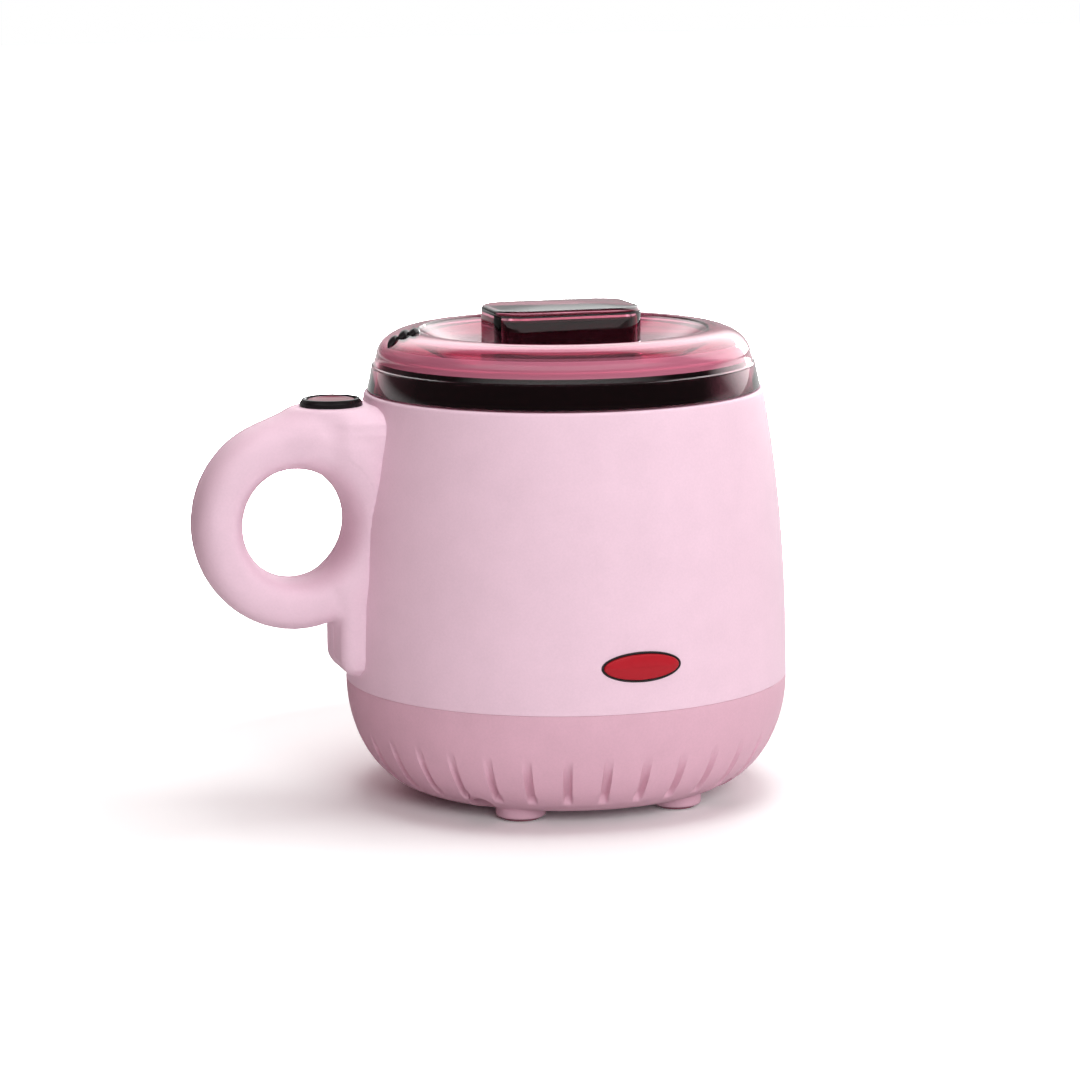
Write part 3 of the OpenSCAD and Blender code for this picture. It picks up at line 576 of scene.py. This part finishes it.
# vents pressed into a round surface, evenly spaced, each deepest near its lower end
def ventTree():
    tree, given, result = newGroup("GeometryNodeTree", "pressedVents", [
        ("Geometry", "Geometry"), ("Count", "Int", 34), ("Half Width", "Float", 0.0014), ("Depth", "Float", 0.0023),
        ("Low End", "Float", 0.0076), ("Deep Low", "Float", 0.0092), ("Deep High", "Float", 0.0125),
        ("High End", "Float", 0.0255), ("Finish", "Material")], [("Geometry", "Geometry")])

    def times(a, b):
        return calc(tree, "MULTIPLY", a, b)

    def parts(vector):
        split = tree.nodes.new("ShaderNodeSeparateXYZ")
        tree.links.new(vector, split.inputs[0])
        return split.outputs

    x, y, z = parts(tree.nodes.new("GeometryNodeInputPosition").outputs[0])
    turn = times(times(calc(tree, "ARCTAN2", y, x), 1 / (2 * math.pi)), given["Count"])
    off = calc(tree, "SUBTRACT", turn, calc(tree, "ROUND", turn))
    radius = calc(tree, "SQRT", calc(tree, "ADD", times(x, x), times(y, y)))
    pitch = calc(tree, "DIVIDE", times(radius, 2 * math.pi), given["Count"])
    side = calc(tree, "DIVIDE", times(off, pitch), given["Half Width"])
    square = times(side, side)
    bowl = calc(tree, "MAXIMUM", calc(tree, "SUBTRACT", 1.0, times(square, square)), 0.0)
    lowRise = ramp(tree, z, (given["Low End"], given["Deep Low"], 0.0, 1.0))
    highRise = ramp(tree, z, (given["Deep High"], given["High End"], 1.0, 0.0))
    normal = tree.nodes.new("GeometryNodeInputNormal").outputs[0]
    facing = parts(normal)
    outward = calc(tree, "ADD", times(facing[0], x), times(facing[1], y))
    outer = calc(tree, "GREATER_THAN", outward, 0.0)       # leaves the inner skin alone
    amount = times(times(times(times(lowRise, highRise), bowl), outer), given["Depth"])
    move = tree.nodes.new("GeometryNodeSetPosition")
    tree.links.new(given["Geometry"], move.inputs["Geometry"])
    tree.links.new(vectorCalc(tree, "SCALE", normal, times(amount, -1.0)), move.inputs["Offset"])
    finishTree(tree, move.outputs[0], given, result)
    return tree


# one copy of a small piece at each point of the carrier
def copiesTree():
    tree, given, result = newGroup("GeometryNodeTree", "copiesOnPoints", [
        ("Geometry", "Geometry"), ("Piece", "Object"), ("Finish", "Material")], [("Geometry", "Geometry")])
    source = tree.nodes.new("GeometryNodeObjectInfo")
    source.inputs["As Instance"].default_value = True
    copies = tree.nodes.new("GeometryNodeInstanceOnPoints")
    turn = tree.nodes.new("GeometryNodeInputNamedAttribute")
    turn.data_type = "FLOAT_VECTOR"
    turn.inputs["Name"].default_value = "turn"
    tree.links.new(given["Piece"], source.inputs["Object"])
    for output, label in ((given["Geometry"], "Points"), (source.outputs["Geometry"], "Instance"),
                          (turn.outputs["Attribute"], "Rotation")):
        tree.links.new(output, copies.inputs[label])
    finishTree(tree, copies.outputs[0], given, result)
    return tree


pressedVents = ventTree()
copiesOnPoints = copiesTree()


def copied(name, pieceMesh, points, turns, paint):
    carrier = bpy.data.meshes.new("points")
    carrier.from_pydata([tuple(c * mm for c in p) for p in points], [], [])
    attribute = carrier.attributes.new("turn", "FLOAT_VECTOR", "POINT")
    for spot, turn in zip(attribute.data, turns):
        spot.vector = turn
    source = linked("source", pieceMesh)
    result = grown(name, carrier, copiesOnPoints, {"Piece": source, "Finish": paint})
    bpy.data.objects.remove(source)
    return result


# the pink shell: sizes in millimetres, as in every dictionary of a piece
body = {"radius": 70.0, "seam": 38.0, "top": 129.0, "taper": 7.3, "power": 2.3, "wall": 2.6, "opening": 54.2,
        "gap": 0.05}
postAngles = (45.5, 134.5, 225.5, 314.5)
posts = around(52, postAngles)
boss = {"low": 16.2, "high": 48.0, "radius": 4.5, "bore": 1.6, "tip": 1.3,
        "rib": ((56.2, -1.4, 42), (67.6, 1.4, 48))}
lamp = {"angle": -86.8, "height": 52.3, "width": 25.6, "tall": 9.4, "cut": (60, 76)}


def shellRadius(z):
    t = (np.clip(z, body["seam"], body["top"]) - body["seam"]) / (body["top"] - body["seam"])
    return body["radius"] - body["taper"] * t ** body["power"]


# a bar of the lamp's section that points out along the lamp's line
def lampBar(name, inner, outer):
    turn = Matrix.Rotation(math.radians(lamp["angle"]), 4, "Z")
    return meshOfRings(name, [[turn @ Vector((r, lamp["width"] / 2 * math.cos(a),
                                              lamp["height"] + lamp["tall"] / 2 * math.sin(a)))
                               for a in evenAngles(72)] for r in (inner, outer)])


def makeShell():
    low, top, wall = body["seam"] + body["gap"] / 2, body["top"], body["wall"]
    skin = [(float(shellRadius(z)), float(z)) for z in np.linspace(low + 2, top - 2.5, 44)]
    corners = [(body["radius"], low, 0.15)] + [(r, z, 0) for r, z in skin]
    corners += [(float(shellRadius(top)), top, 1.1), (body["opening"], top, 0.4), (body["opening"], top - wall, 0.4)]
    corners += [(r - wall, z, 0) for r, z in skin[::-1][1:]] + [(body["radius"] - wall, low, 0.3)]
    shell = latheMesh("outerShell", rounded(corners), evenAngles(240))
    shell = carve(shell, [lampBar("lampHole", *lamp["cut"])])
    outline = [(boss["bore"], boss["low"]), (boss["radius"], boss["low"]), (boss["radius"], boss["high"]),
               (boss["tip"], boss["high"])]
    bosses = [latheMesh("boss", outline, evenAngles(28), spot) for spot in posts]
    ribs = [block("rib", *boss["rib"], math.radians(angle)) for angle in postAngles]
    return joined("outerShell", [shell] + bosses + ribs)


# a quarter of an ellipse runs from the flat underside up to the seam
base = {"flat": 46.0, "reach": 24.0, "drop": 34.5, "wall": 2.6, "lip": 67.3, "lipTop": 41.0, "lipWall": 1.9,
        "recess": 3.2, "recessRadius": 4.1, "screwSeat": 13.5, "glandZ": 26.0, "glandRadius": 7.6, "glandTilt": -104.5}
vents = {"count": 34, "halfWidth": 1.4, "depth": 2.3, "lowEnd": 7.6, "deepLow": 9.2, "deepHigh": 12.5,
         "highEnd": 25.5}
# angles between one vent and the next, in degrees, closest together across the vent
ventSteps = (-3.6, -2.3, -1.6, -1.3, -1.0, -0.75, -0.5, -0.25, 0, 0.25, 0.5, 0.75, 1.0, 1.3, 1.6, 2.3, 3.6)
foot = {"radius": 8.0, "top": 5.0, "rim": 1.0, "socket": 6.2, "socketTop": 2.2}
feet = around(43.6, (54.7, 125.3, 234.7, 305.3))
standoff = {"spots": [(x, y) for x in (-30, 30) for y in (-18, 18)],
            "outline": [(1.15, 7), (3, 4.6), (3, 12), (1.15, 12)]}


# the belly's outline between two angles in degrees from straight down, drawn in by a wall
def bellyArc(inset, start, end, count):
    return [(base["flat"] + (base["reach"] - inset) * math.sin(t), body["seam"] - (base["drop"] - inset) * math.cos(t))
            for t in np.linspace(math.radians(start), math.radians(end), count)]


def makeBase():
    pitch = 360 / vents["count"]
    angles = [math.radians(i * pitch + step) for i in range(vents["count"]) for step in (*ventSteps, pitch / 2)]
    underside, top, lip = body["seam"] - base["drop"], body["seam"] - body["gap"] / 2, base["lip"]
    corners = [(0, underside, 0)] + [(float(r), float(z), 0) for r, z in bellyArc(0, 0, 88.6, 62)]
    corners += [(body["radius"], top, 0.12), (lip, top, 0.3), (lip, base["lipTop"], 0.3),
                (lip - base["lipWall"], base["lipTop"], 0.3), (lip - base["lipWall"], 25, 0)]
    corners += [(float(r), float(z), 0) for r, z in bellyArc(base["wall"], 64, 0, 8)]
    corners += [(0, underside + base["wall"], 0)]
    cup = latheMesh("baseCup", rounded(corners, 4), angles)
    cup = grown("baseCup", cup, pressedVents, {
        "Count": vents["count"], "Half Width": vents["halfWidth"] * mm, "Depth": vents["depth"] * mm,
        "Low End": vents["lowEnd"] * mm, "Deep Low": vents["deepLow"] * mm, "Deep High": vents["deepHigh"] * mm,
        "High End": vents["highEnd"] * mm, "Finish": finish["base_pink"]})
    seat, recess = base["screwSeat"], base["recessRadius"]
    wells = [slot("well", x, y, base["recess"], recess, -1, seat) for x, y in posts]
    belly = base["flat"] + base["reach"] * math.sqrt(1 - ((body["seam"] - base["glandZ"]) / base["drop"]) ** 2)
    gland = latheMesh("glandHole", [(0, -12), (base["glandRadius"], -12), (base["glandRadius"], 6), (0, 6)],
                      evenAngles(48))
    gland.transform(Matrix.Translation((0, belly * mm, base["glandZ"] * mm))
                    @ Matrix.Rotation(math.radians(base["glandTilt"]), 4, "X"))
    cup = carve(cup, wells + [gland], 40)
    extras = []
    outside, rim, socket = foot["radius"], foot["rim"], foot["socket"]
    ring = rounded([(0, foot["top"], 0), (outside, foot["top"], 0), (outside - 0.2, rim, 0.7), (socket, rim, 0.2),
                    (socket, foot["socketTop"], 0.1), (0, foot["socketTop"], 0)])
    for spot in feet:
        extras.append(latheMesh("foot", ring, evenAngles(56), spot))
    ring = [(6.2, 4.4), (6.2, 16), (1.7, 16), (1.7, seat), (recess, seat), (recess, 4.4)]
    for spot in posts:
        sleeve = latheMesh("well", ring, evenAngles(36), spot)
        for v in sleeve.vertices:
            if v.co.z < 5 * mm:      # the lower end follows the belly's inside
                t = max(math.hypot(v.co.x, v.co.y) / mm - base["flat"], 0) / base["reach"]
                v.co.z = (body["seam"] + base["wall"] / 2 - base["drop"] * math.sqrt(max(1 - t * t, 0))) * mm
        extras.append(sleeve)
    for spot in standoff["spots"]:
        extras.append(latheMesh("standoff", standoff["outline"], evenAngles(24), spot))
    cup = joined("baseCup", [cup] + extras, 40)
    cup.materials.clear()
    return cup


def makePads():
    radius = foot["socket"] - 0.2
    outline = rounded([(0, 0, 0), (radius, 0, 0.5), (radius, 2, 0.2), (0, 2, 0)])
    pad = latheMesh("pad", outline, evenAngles(48))
    return copied("footPads", pad, [(*spot, 0) for spot in feet], [(0, 0, 0)] * len(feet), finish["foot_rubber"])


place("outerShell", makeShell(), "outer_shell", "housing")
place("baseCup", makeBase(), "base_cup", "housing")
place("footPads", makePads(), "foot_pads", "housing")
print("body and base made")


# the ring handle: the ring itself, the platform with its pocket, and the foot on the body
handle = {"x": -87.7, "z": 90.5, "ring": 25.0, "squeeze": 0.96, "thick": 8.2, "deep": 12.0, "sunk": 0.6,
          "mouth": 1.3, "roundness": 2.4, "deck": 126.6, "deckX": -75.0, "deckRadius": 12.8, "barrelFoot": 108.0,
          "pocket": 9.1, "pocketFloor": 113.0, "tailFace": -75.6, "footHalf": 12.0, "footZ": 84.2,
          "footTall": 42.6, "edge": 3.2, "step": 0.62}
# half the width of the foot that lies on the body, by height
footWidth = {"z": [41.0, 42.2, 45, 48, 60, 80, 93, 101.5, 110, 115, 119, 122.4, 125, 126.6],
             "y": [4.0, 9.5, 13.0, 13.9, 14.2, 14.2, 14.4, 15.6, 17.4, 18.0, 18.0, 17.2, 14.6, 11.5]}


def smoothStep(value, low, high):
    t = np.clip((value - low) / (high - low), 0, 1)
    return t * t * (3 - 2 * t)


def softMin(a, b, k):
    h = np.maximum(k - np.abs(a - b), 0) / k
    return np.minimum(a, b) - h * h * k / 4


def softMax(a, b, k):
    return -softMin(-a, -b, k)


def boxField(dx, dz, halfX, halfZ, corner):
    qx, qz = np.abs(dx) - halfX + corner, np.abs(dz) - halfZ + corner
    return np.minimum(np.maximum(qx, qz), 0) + np.hypot(np.maximum(qx, 0), np.maximum(qz, 0)) - corner


# signed distance to the whole handle, in millimetres
def handleField(x, y, z):
    side = np.abs(y)
    n = handle["roundness"]
    # the ring, which widens to the foot's width where it nears the body
    rho = np.hypot((x - handle["x"]) / handle["squeeze"], z - handle["z"])
    deep = np.interp(z, footWidth["z"], footWidth["y"])
    high = smoothStep(z, 55, 70)
    near = smoothStep(x, -79 - 17 * high, -66 + 4 * high)
    deep = np.maximum(handle["deep"] + (deep - handle["deep"]) * near, 3)
    ring = (np.abs(rho - handle["ring"]) / handle["thick"]) ** n + (side / deep) ** n
    ring = handle["thick"] * (ring ** (1 / n) - 1)
    # the foot: an upright bar with rounded edges
    edge = handle["edge"]
    corner = np.where(z < handle["footZ"], 7.0, 4.0)
    flat = boxField(x - handle["tailFace"] - handle["footHalf"], z - handle["footZ"], handle["footHalf"],
                    handle["footTall"], corner) + edge
    wide = side - deep + edge
    foot = np.minimum(np.maximum(flat, wide), 0) + np.hypot(np.maximum(flat, 0), np.maximum(wide, 0)) - edge
    # the barrel under the button's platform, which flares a little just below the platform
    out = x - handle["deckX"]
    sweep = 1 + 0.36 * np.clip((handle["deck"] - z) / 4, 0, 1.2) * (out < 0)
    barrel = softMax(np.hypot(out / sweep, y) - handle["deckRadius"], handle["barrelFoot"] - z, 8.0)
    whole = softMin(ring, foot, 2.5 + 2.0 * smoothStep(z, 58, 80))
    whole = softMin(whole, barrel, 5.0)
    # the hole, the platform, the body's curve and the button's pocket are cut away
    waist = np.maximum(0, 1 - (side / (deep + handle["mouth"])) ** n) ** (1 / n)
    hole = rho - (handle["ring"] - handle["thick"] * waist) - 0.35
    whole = softMax(whole, -hole, 1.2)
    whole = softMax(whole, z - handle["deck"], 1.2)
    whole = np.maximum(whole, shellRadius(z) - handle["sunk"] - np.hypot(x, y))
    pocket = np.maximum(np.hypot(out, y) - handle["pocket"], handle["pocketFloor"] - z)
    return np.maximum(whole, -pocket)


# closed surface where a field crosses zero, with its points drawn onto it
def surfaceOf(field, low, high, step):
    axes = [np.arange(low[i], high[i] + step, step) for i in range(3)]
    values = field(*np.meshgrid(*axes, indexing="ij"))
    inside = values < 0
    shape = tuple(n - 1 for n in inside.shape)
    corners = [(a, b, c) for a in (0, 1) for b in (0, 1) for c in (0, 1)]

    def part(array, offset):
        return array[tuple(slice(o, o + n) for o, n in zip(offset, shape))]

    # one point in each cell that the surface crosses, in the middle of its crossings
    total = sum(part(inside, c).astype(np.int8) for c in corners)
    active = (total > 0) & (total < 8)
    cells = np.argwhere(active)
    number = -np.ones(shape, int)
    number[active] = np.arange(len(cells))
    summed, hits = np.zeros((len(cells), 3)), np.zeros(len(cells))
    for a in corners:
        for axis in range(3):
            if a[axis]:
                continue
            b = tuple(1 if i == axis else a[i] for i in range(3))
            va, vb = part(values, a)[active], part(values, b)[active]
            crossed = (va < 0) != (vb < 0)
            t = np.where(crossed, va / np.where(crossed, va - vb, 1), 0)
            point = cells + np.array(a, float)
            point[:, axis] += t
            summed[crossed] += point[crossed]
            hits[crossed] += 1
    points = np.array(low) + summed / hits[:, None] * step
    # then each point steps down the field's slope, a few times over
    for turn in range(4):
        here = field(*points.T)
        slope = np.stack([(field(*(points + d).T) - field(*(points - d).T)) / 0.04 for d in np.eye(3) * 0.02], 1)
        size = np.maximum((slope ** 2).sum(1), 0.05)
        points -= np.clip(here / size, -0.2, 0.2)[:, None] * slope
    # a quad around each grid edge that the surface crosses
    faces = []
    for axis in range(3):
        u, v = (axis + 1) % 3, (axis + 2) % 3
        near, far = [slice(None)] * 3, [slice(None)] * 3
        near[axis], far[axis] = slice(0, -1), slice(1, None)
        spots = np.argwhere(inside[tuple(near)] != inside[tuple(far)])
        spots = spots[(spots[:, u] > 0) & (spots[:, v] > 0) & (spots[:, u] < shape[u]) & (spots[:, v] < shape[v])]
        out = inside[tuple(near)][tuple(spots.T)]
        ring = []
        for du, dv in ((-1, -1), (0, -1), (0, 0), (-1, 0)):
            cell = spots.copy()
            cell[:, u] += du
            cell[:, v] += dv
            ring.append(number[tuple(cell.T)])
        quads = np.stack(ring, 1)
        quads[~out] = quads[~out][:, ::-1]
        faces.append(quads)
    return points, np.concatenate(faces)


# one half of a mesh, closed, with a small chamfer that makes the parting groove
def halfOf(name, points, faces, side, chamfer=0.4, gap=0.06):
    bm = bmesh.new()
    verts = [bm.verts.new(p * mm) for p in points]
    for f in faces:
        bm.faces.new([verts[i] for i in f])
    bm.normal_update()
    cut = side * (gap + chamfer) * mm
    bmesh.ops.bisect_plane(bm, geom=bm.verts[:] + bm.edges[:] + bm.faces[:], dist=1e-7, plane_co=(0, cut, 0),
                           plane_no=(0, side, 0), clear_inner=True)
    bm.normal_update()
    rim = [e for e in bm.edges if e.is_boundary]
    inward = {tuple(round(c, 8) for c in v.co): Vector((v.normal.x, 0, v.normal.z)).normalized()
              for e in rim for v in e.verts}
    made = bmesh.ops.extrude_edge_only(bm, edges=rim)["geom"]
    for v in (g for g in made if isinstance(g, bmesh.types.BMVert)):
        normal = inward[tuple(round(c, 8) for c in v.co)]
        v.co = v.co - normal * chamfer * 0.8 * mm
        v.co.y = side * gap * mm
    edge = [g for g in made if isinstance(g, bmesh.types.BMEdge) and g.is_boundary]
    bmesh.ops.triangle_fill(bm, edges=edge, use_beauty=True)
    bmesh.ops.recalc_face_normals(bm, faces=bm.faces)
    return meshOf(bm, name, 50)


points, faces = surfaceOf(handleField, (-123, -21, 40), (-58, 21, 128.5), handle["step"])
place("handleFront", halfOf("handleFront", points, faces, -1), "handle_front", "housing")
place("handleRear", halfOf("handleRear", points, faces, 1), "handle_rear", "housing")
print("handle made:", len(faces), "faces")


button = {"spot": (-75.0, 0), "deck": 126.6, "sides": 96}


# heights in these outlines are above the platform
def buttonPart(name, corners):
    outline = rounded([(r, button["deck"] + z, radius) for r, z, radius in corners])
    return latheMesh(name, outline, evenAngles(button["sides"]), button["spot"], 50)


def makeBezel():
    return buttonPart("buttonBezel", [
        (7.95, 1.9, 0.2), (8.35, 2.5, 0.3), (9.0, 2.3, 0.5), (9.65, 1.3, 0.6), (9.85, 0, 0.1), (9.0, 0, 0.05),
        (9.0, -7.6, 0.2), (8.7, -7.6, 0.1), (8.7, -0.6, 0.1), (7.95, -0.6, 0.1)])


def makeButton():
    return buttonPart("powerButton", [
        (0, 1.75, 0), (5.0, 1.8, 1.5), (5.9, 2.25, 0.7), (7.1, 2.0, 0.7), (7.75, 1.2, 0.3), (7.75, -2.1, 0.1),
        (8.4, -2.1, 0.1), (8.4, -3.4, 0.1), (7, -3.4, 0.1), (7, -0.4, 0.2), (1.6, -0.4, 0.2), (1.6, -7, 0.1),
        (0, -7, 0)])


place("buttonBezel", makeBezel(), "button_bezel", "housing")
place("powerButton", makeButton(), "power_button", "button")


# solid of rings of an ellipse wrapped on the body's curve: each is (how far drawn in, radius from the axis)
def wrappedEllipse(name, trim, rings, closed):
    def ring(inset, r):
        points = []
        for a in evenAngles(96):
            u = (lamp["width"] / 2 - trim - inset) * math.cos(a)
            v = (lamp["tall"] / 2 - trim - inset) * math.sin(a)
            angle = math.radians(lamp["angle"]) + u / body["radius"]
            points.append((r * math.cos(angle), r * math.sin(angle), lamp["height"] + v))
        return points

    return meshOfRings(name, [ring(inset, r) for inset, r in rings], closed, 50)


def makeLens():
    rings = [(0, 65.8), (0, 70.05), (0.12, 70.3)]
    widest = lamp["tall"] / 2 - 0.75
    rings += [(0.25 + widest * s, 70.45 + 0.55 * (1 - (1 - s) ** 2)) for s in np.linspace(0, 0.93, 14)]
    return wrappedEllipse("indicatorLens", 0.75, rings, False)


def makeSeal():
    rings = [(0, 66.5), (0, 70.1), (0.15, 70.25), (0.5, 70.2), (0.66, 70.0), (0.66, 66.5)]
    return wrappedEllipse("lampSeal", 0.02, rings, True)


place("indicatorLens", makeLens(), "indicator_lens", "housing")
place("lampSeal", makeSeal(), "lamp_seal", "housing")
print("button and lamp made")


# outlines from the pot's axis outwards: radius, height and the rounding of each corner
pot = {"sides": 192, "steps": 6,
       "shell": [(0, 60.5, 0), (43.5, 60.5, 3.5), (50.2, 68, 3), (50.2, 131.3, 0.3), (54.6, 131.3, 0.2),
                 (54.6, 132.5, 0.2), (50.2, 132.5, 0.1), (50.2, 139.4, 0.1), (49.6, 139.9, 0.25), (49.0, 139.4, 0.25),
                 (49.0, 68.3, 4), (43, 61.7, 4), (0, 61.7, 0)],
       "collar": [(59.2, 129.4, 0.35), (57.4, 137.4, 1.1), (55.6, 139.9, 0.6), (50.0, 140.0, 0.6), (48.7, 139.6, 0.5),
                  (48.7, 131.2, 0.2), (48.95, 131.0, 0.1), (48.95, 139.5, 0.1), (50.3, 139.5, 0.1),
                  (50.3, 132.5, 0.1), (57.4, 132.5, 0.2), (57.8, 129.4, 0.2)]}


def turnedPart(name, corners):
    return latheMesh(name, rounded(corners, pot["steps"]), evenAngles(pot["sides"]))


place("waxPot", turnedPart("waxPot", pot["shell"]), "wax_pot", "pot")
place("potCollar", turnedPart("potCollar", pot["collar"]), "pot_rim", "pot")
print("pot made")


# the lid: its dome is an ellipse around crestR and domeZ, and its dish slopes from rimR down to floorR
lid = {"crest": 148.0, "crestR": 47.4, "domeZ": 139.6, "domeA": 11.5, "domeB": 8.4, "wall": 2.0, "rimR": 45.2,
       "floorR": 27.0, "floorZ": 137.0, "hazeLow": 139.3, "hazeHigh": 143.9, "shoulder": 144.8,
       "beltHaze": 0.5, "dishHaze": 0.2}


def makeLid():
    crest, rim, floor, floorZ, wall = lid["crest"], lid["rimR"], lid["floorR"], lid["floorZ"], lid["wall"]
    outer = arcPoints(lid["crestR"], lid["domeZ"], lid["domeA"], lid["domeB"], 2, 86, 26)
    inner = arcPoints(lid["crestR"] - 0.2, lid["domeZ"], lid["domeA"] - 1.9, lid["domeB"] - 2.1, 100, 22, 20)
    corners = [(61.9, 129.4, 0.25), (60.35, 136.6, 0.5), (60.3, 137.0, 0.15), (59.75, 137.3, 0.2), (59.3, 138.8, 0)]
    corners += [(r, z, 0) for r, z in outer]
    corners += [(rim + 0.5, crest - 0.05, 0.3), (rim, crest - 0.7, 0.4), (floor, floorZ, 1.2), (0, floorZ, 0),
                (0, floorZ - wall, 0), (floor - 0.8, floorZ - wall, 1.2), (rim - 1.6, crest - 3, 0.6)]
    corners += [(r, z, 0) for r, z in inner]
    corners += [(54.8, 141.2, 0.2), (54.6, 140.2, 0.1), (57, 140.2, 0.2), (59.9, 129.4, 0.2)]
    mesh = latheMesh("lidShell", rounded(corners, 5), evenAngles(240), sharpAngle=40)
    mesh.materials.append(finish["lid_magenta"])
    mesh.materials.append(clearPlastic("hazyBelt", palette["hazyMagenta"], 0.02, lid["beltHaze"]))
    mesh.materials.append(clearPlastic("hazyDish", palette["hazyMagenta"], 0.02, lid["dishHaze"]))
    for face in mesh.polygons:      # the dome's belt and shoulder and the dish are moulded slightly milky
        r, z = math.hypot(face.center.x, face.center.y) / mm, face.center.z / mm
        outside = face.normal.x * face.center.x + face.normal.y * face.center.y > 0
        dome = outside and r > lid["crestR"]
        belt = dome and lid["hazeLow"] < z < lid["hazeHigh"]
        shoulder = dome and lid["hazeHigh"] <= z < lid["shoulder"]
        dish = face.normal.z > 0.3 and r < rim and floorZ - 0.5 < z < crest - 0.8
        face.material_index = 1 if belt else 2 if dish or shoulder else 0
    return mesh


# rings of a block with rounded corners in plan: levels are (inset, height), and a crown closes the top softly
def blockRings(part, inset, corner, levels, crown=0.0, steps=10):
    rings = []
    for extra, z in levels:
        r = max(corner - extra, 0.3)
        hx, hy = part["length"] / 2 - inset - extra - r, part["width"] / 2 - inset - extra - r
        ring = []
        for quarter, (cx, cy) in enumerate(((hx, hy), (-hx, hy), (-hx, -hy), (hx, -hy))):
            for k in range(steps + 1):
                a = math.radians(90 * (quarter + k / steps))
                ring.append((part["x"] + cx + r * math.cos(a), cy + r * math.sin(a), z))
        rings.append(ring)
    if crown:
        last = rings[-1]
        for f in (0.93, 0.84, 0.72, 0.58, 0.42, 0.25, 0.08):
            rise = crown * (1 - f * f)
            rings.append([(part["x"] + (x - part["x"]) * f, y * f, z + rise) for x, y, z in last])
    return rings


knob = {"length": 47.4, "width": 33.6, "foot": 137.0, "top": 156.0, "crown": 0.9, "corner": 10.0, "inner": 6.4,
        "wall": 1.8, "coreTop": 151.6, "x": -0.7}


def softTop(top, radius, steps=5):
    return [(radius * (1 - math.cos(math.radians(90 * k / steps))),
             top - radius * (1 - math.sin(math.radians(90 * k / steps)))) for k in range(steps + 1)]


def makeKnob():
    levels = [(0, knob["foot"])] + softTop(knob["top"] - knob["crown"], 1.6, 6)
    outside = blockRings(knob, 0, knob["corner"], levels, knob["crown"])
    hollow = [(0, knob["foot"]), (0, knob["coreTop"] + 0.5), (0.6, knob["coreTop"] + 1.1)]
    inside = blockRings(knob, knob["wall"], knob["inner"], hollow)
    return meshOfRings("lidKnob", inside[::-1] + outside)


def makeCore():
    levels = [(0, knob["foot"] + 0.05)] + softTop(knob["coreTop"], 0.8, 4)
    return meshOfRings("knobCore", blockRings(knob, knob["wall"] + 0.2, knob["inner"] - 0.2, levels))


vent = {"long": 3.3, "wide": 1.6, "tall": 2.0, "tilt": -0.35, "turn": 0.9, "tilts": (1.5, 1.0, 0.5),
        "spots": [(-55.0, -1.0, 145.2), (-51.5, -0.4, 147.0), (-48.0, 0.2, 147.6)]}


def makeVent():
    bm = bmesh.new()
    bmesh.ops.create_uvsphere(bm, u_segments=24, v_segments=16, radius=1.0)
    bm.transform(Matrix.Diagonal((vent["long"] * mm, vent["wide"] * mm, vent["tall"] * mm, 1)))
    turns = [(0, vent["tilt"] * share, vent["turn"]) for share in vent["tilts"]]
    return copied("lidVent", meshOf(bm, "lobe", 60), vent["spots"], turns, finish["black_plastic"])


place("lidShell", makeLid(), "lid_shell", "lid")
place("lidVent", makeVent(), "lid_vent", "lid")
place("lidKnob", makeKnob(), "lid_knob", "lid")
place("knobCore", makeCore(), "knob_core", "lid")
print("lid made")
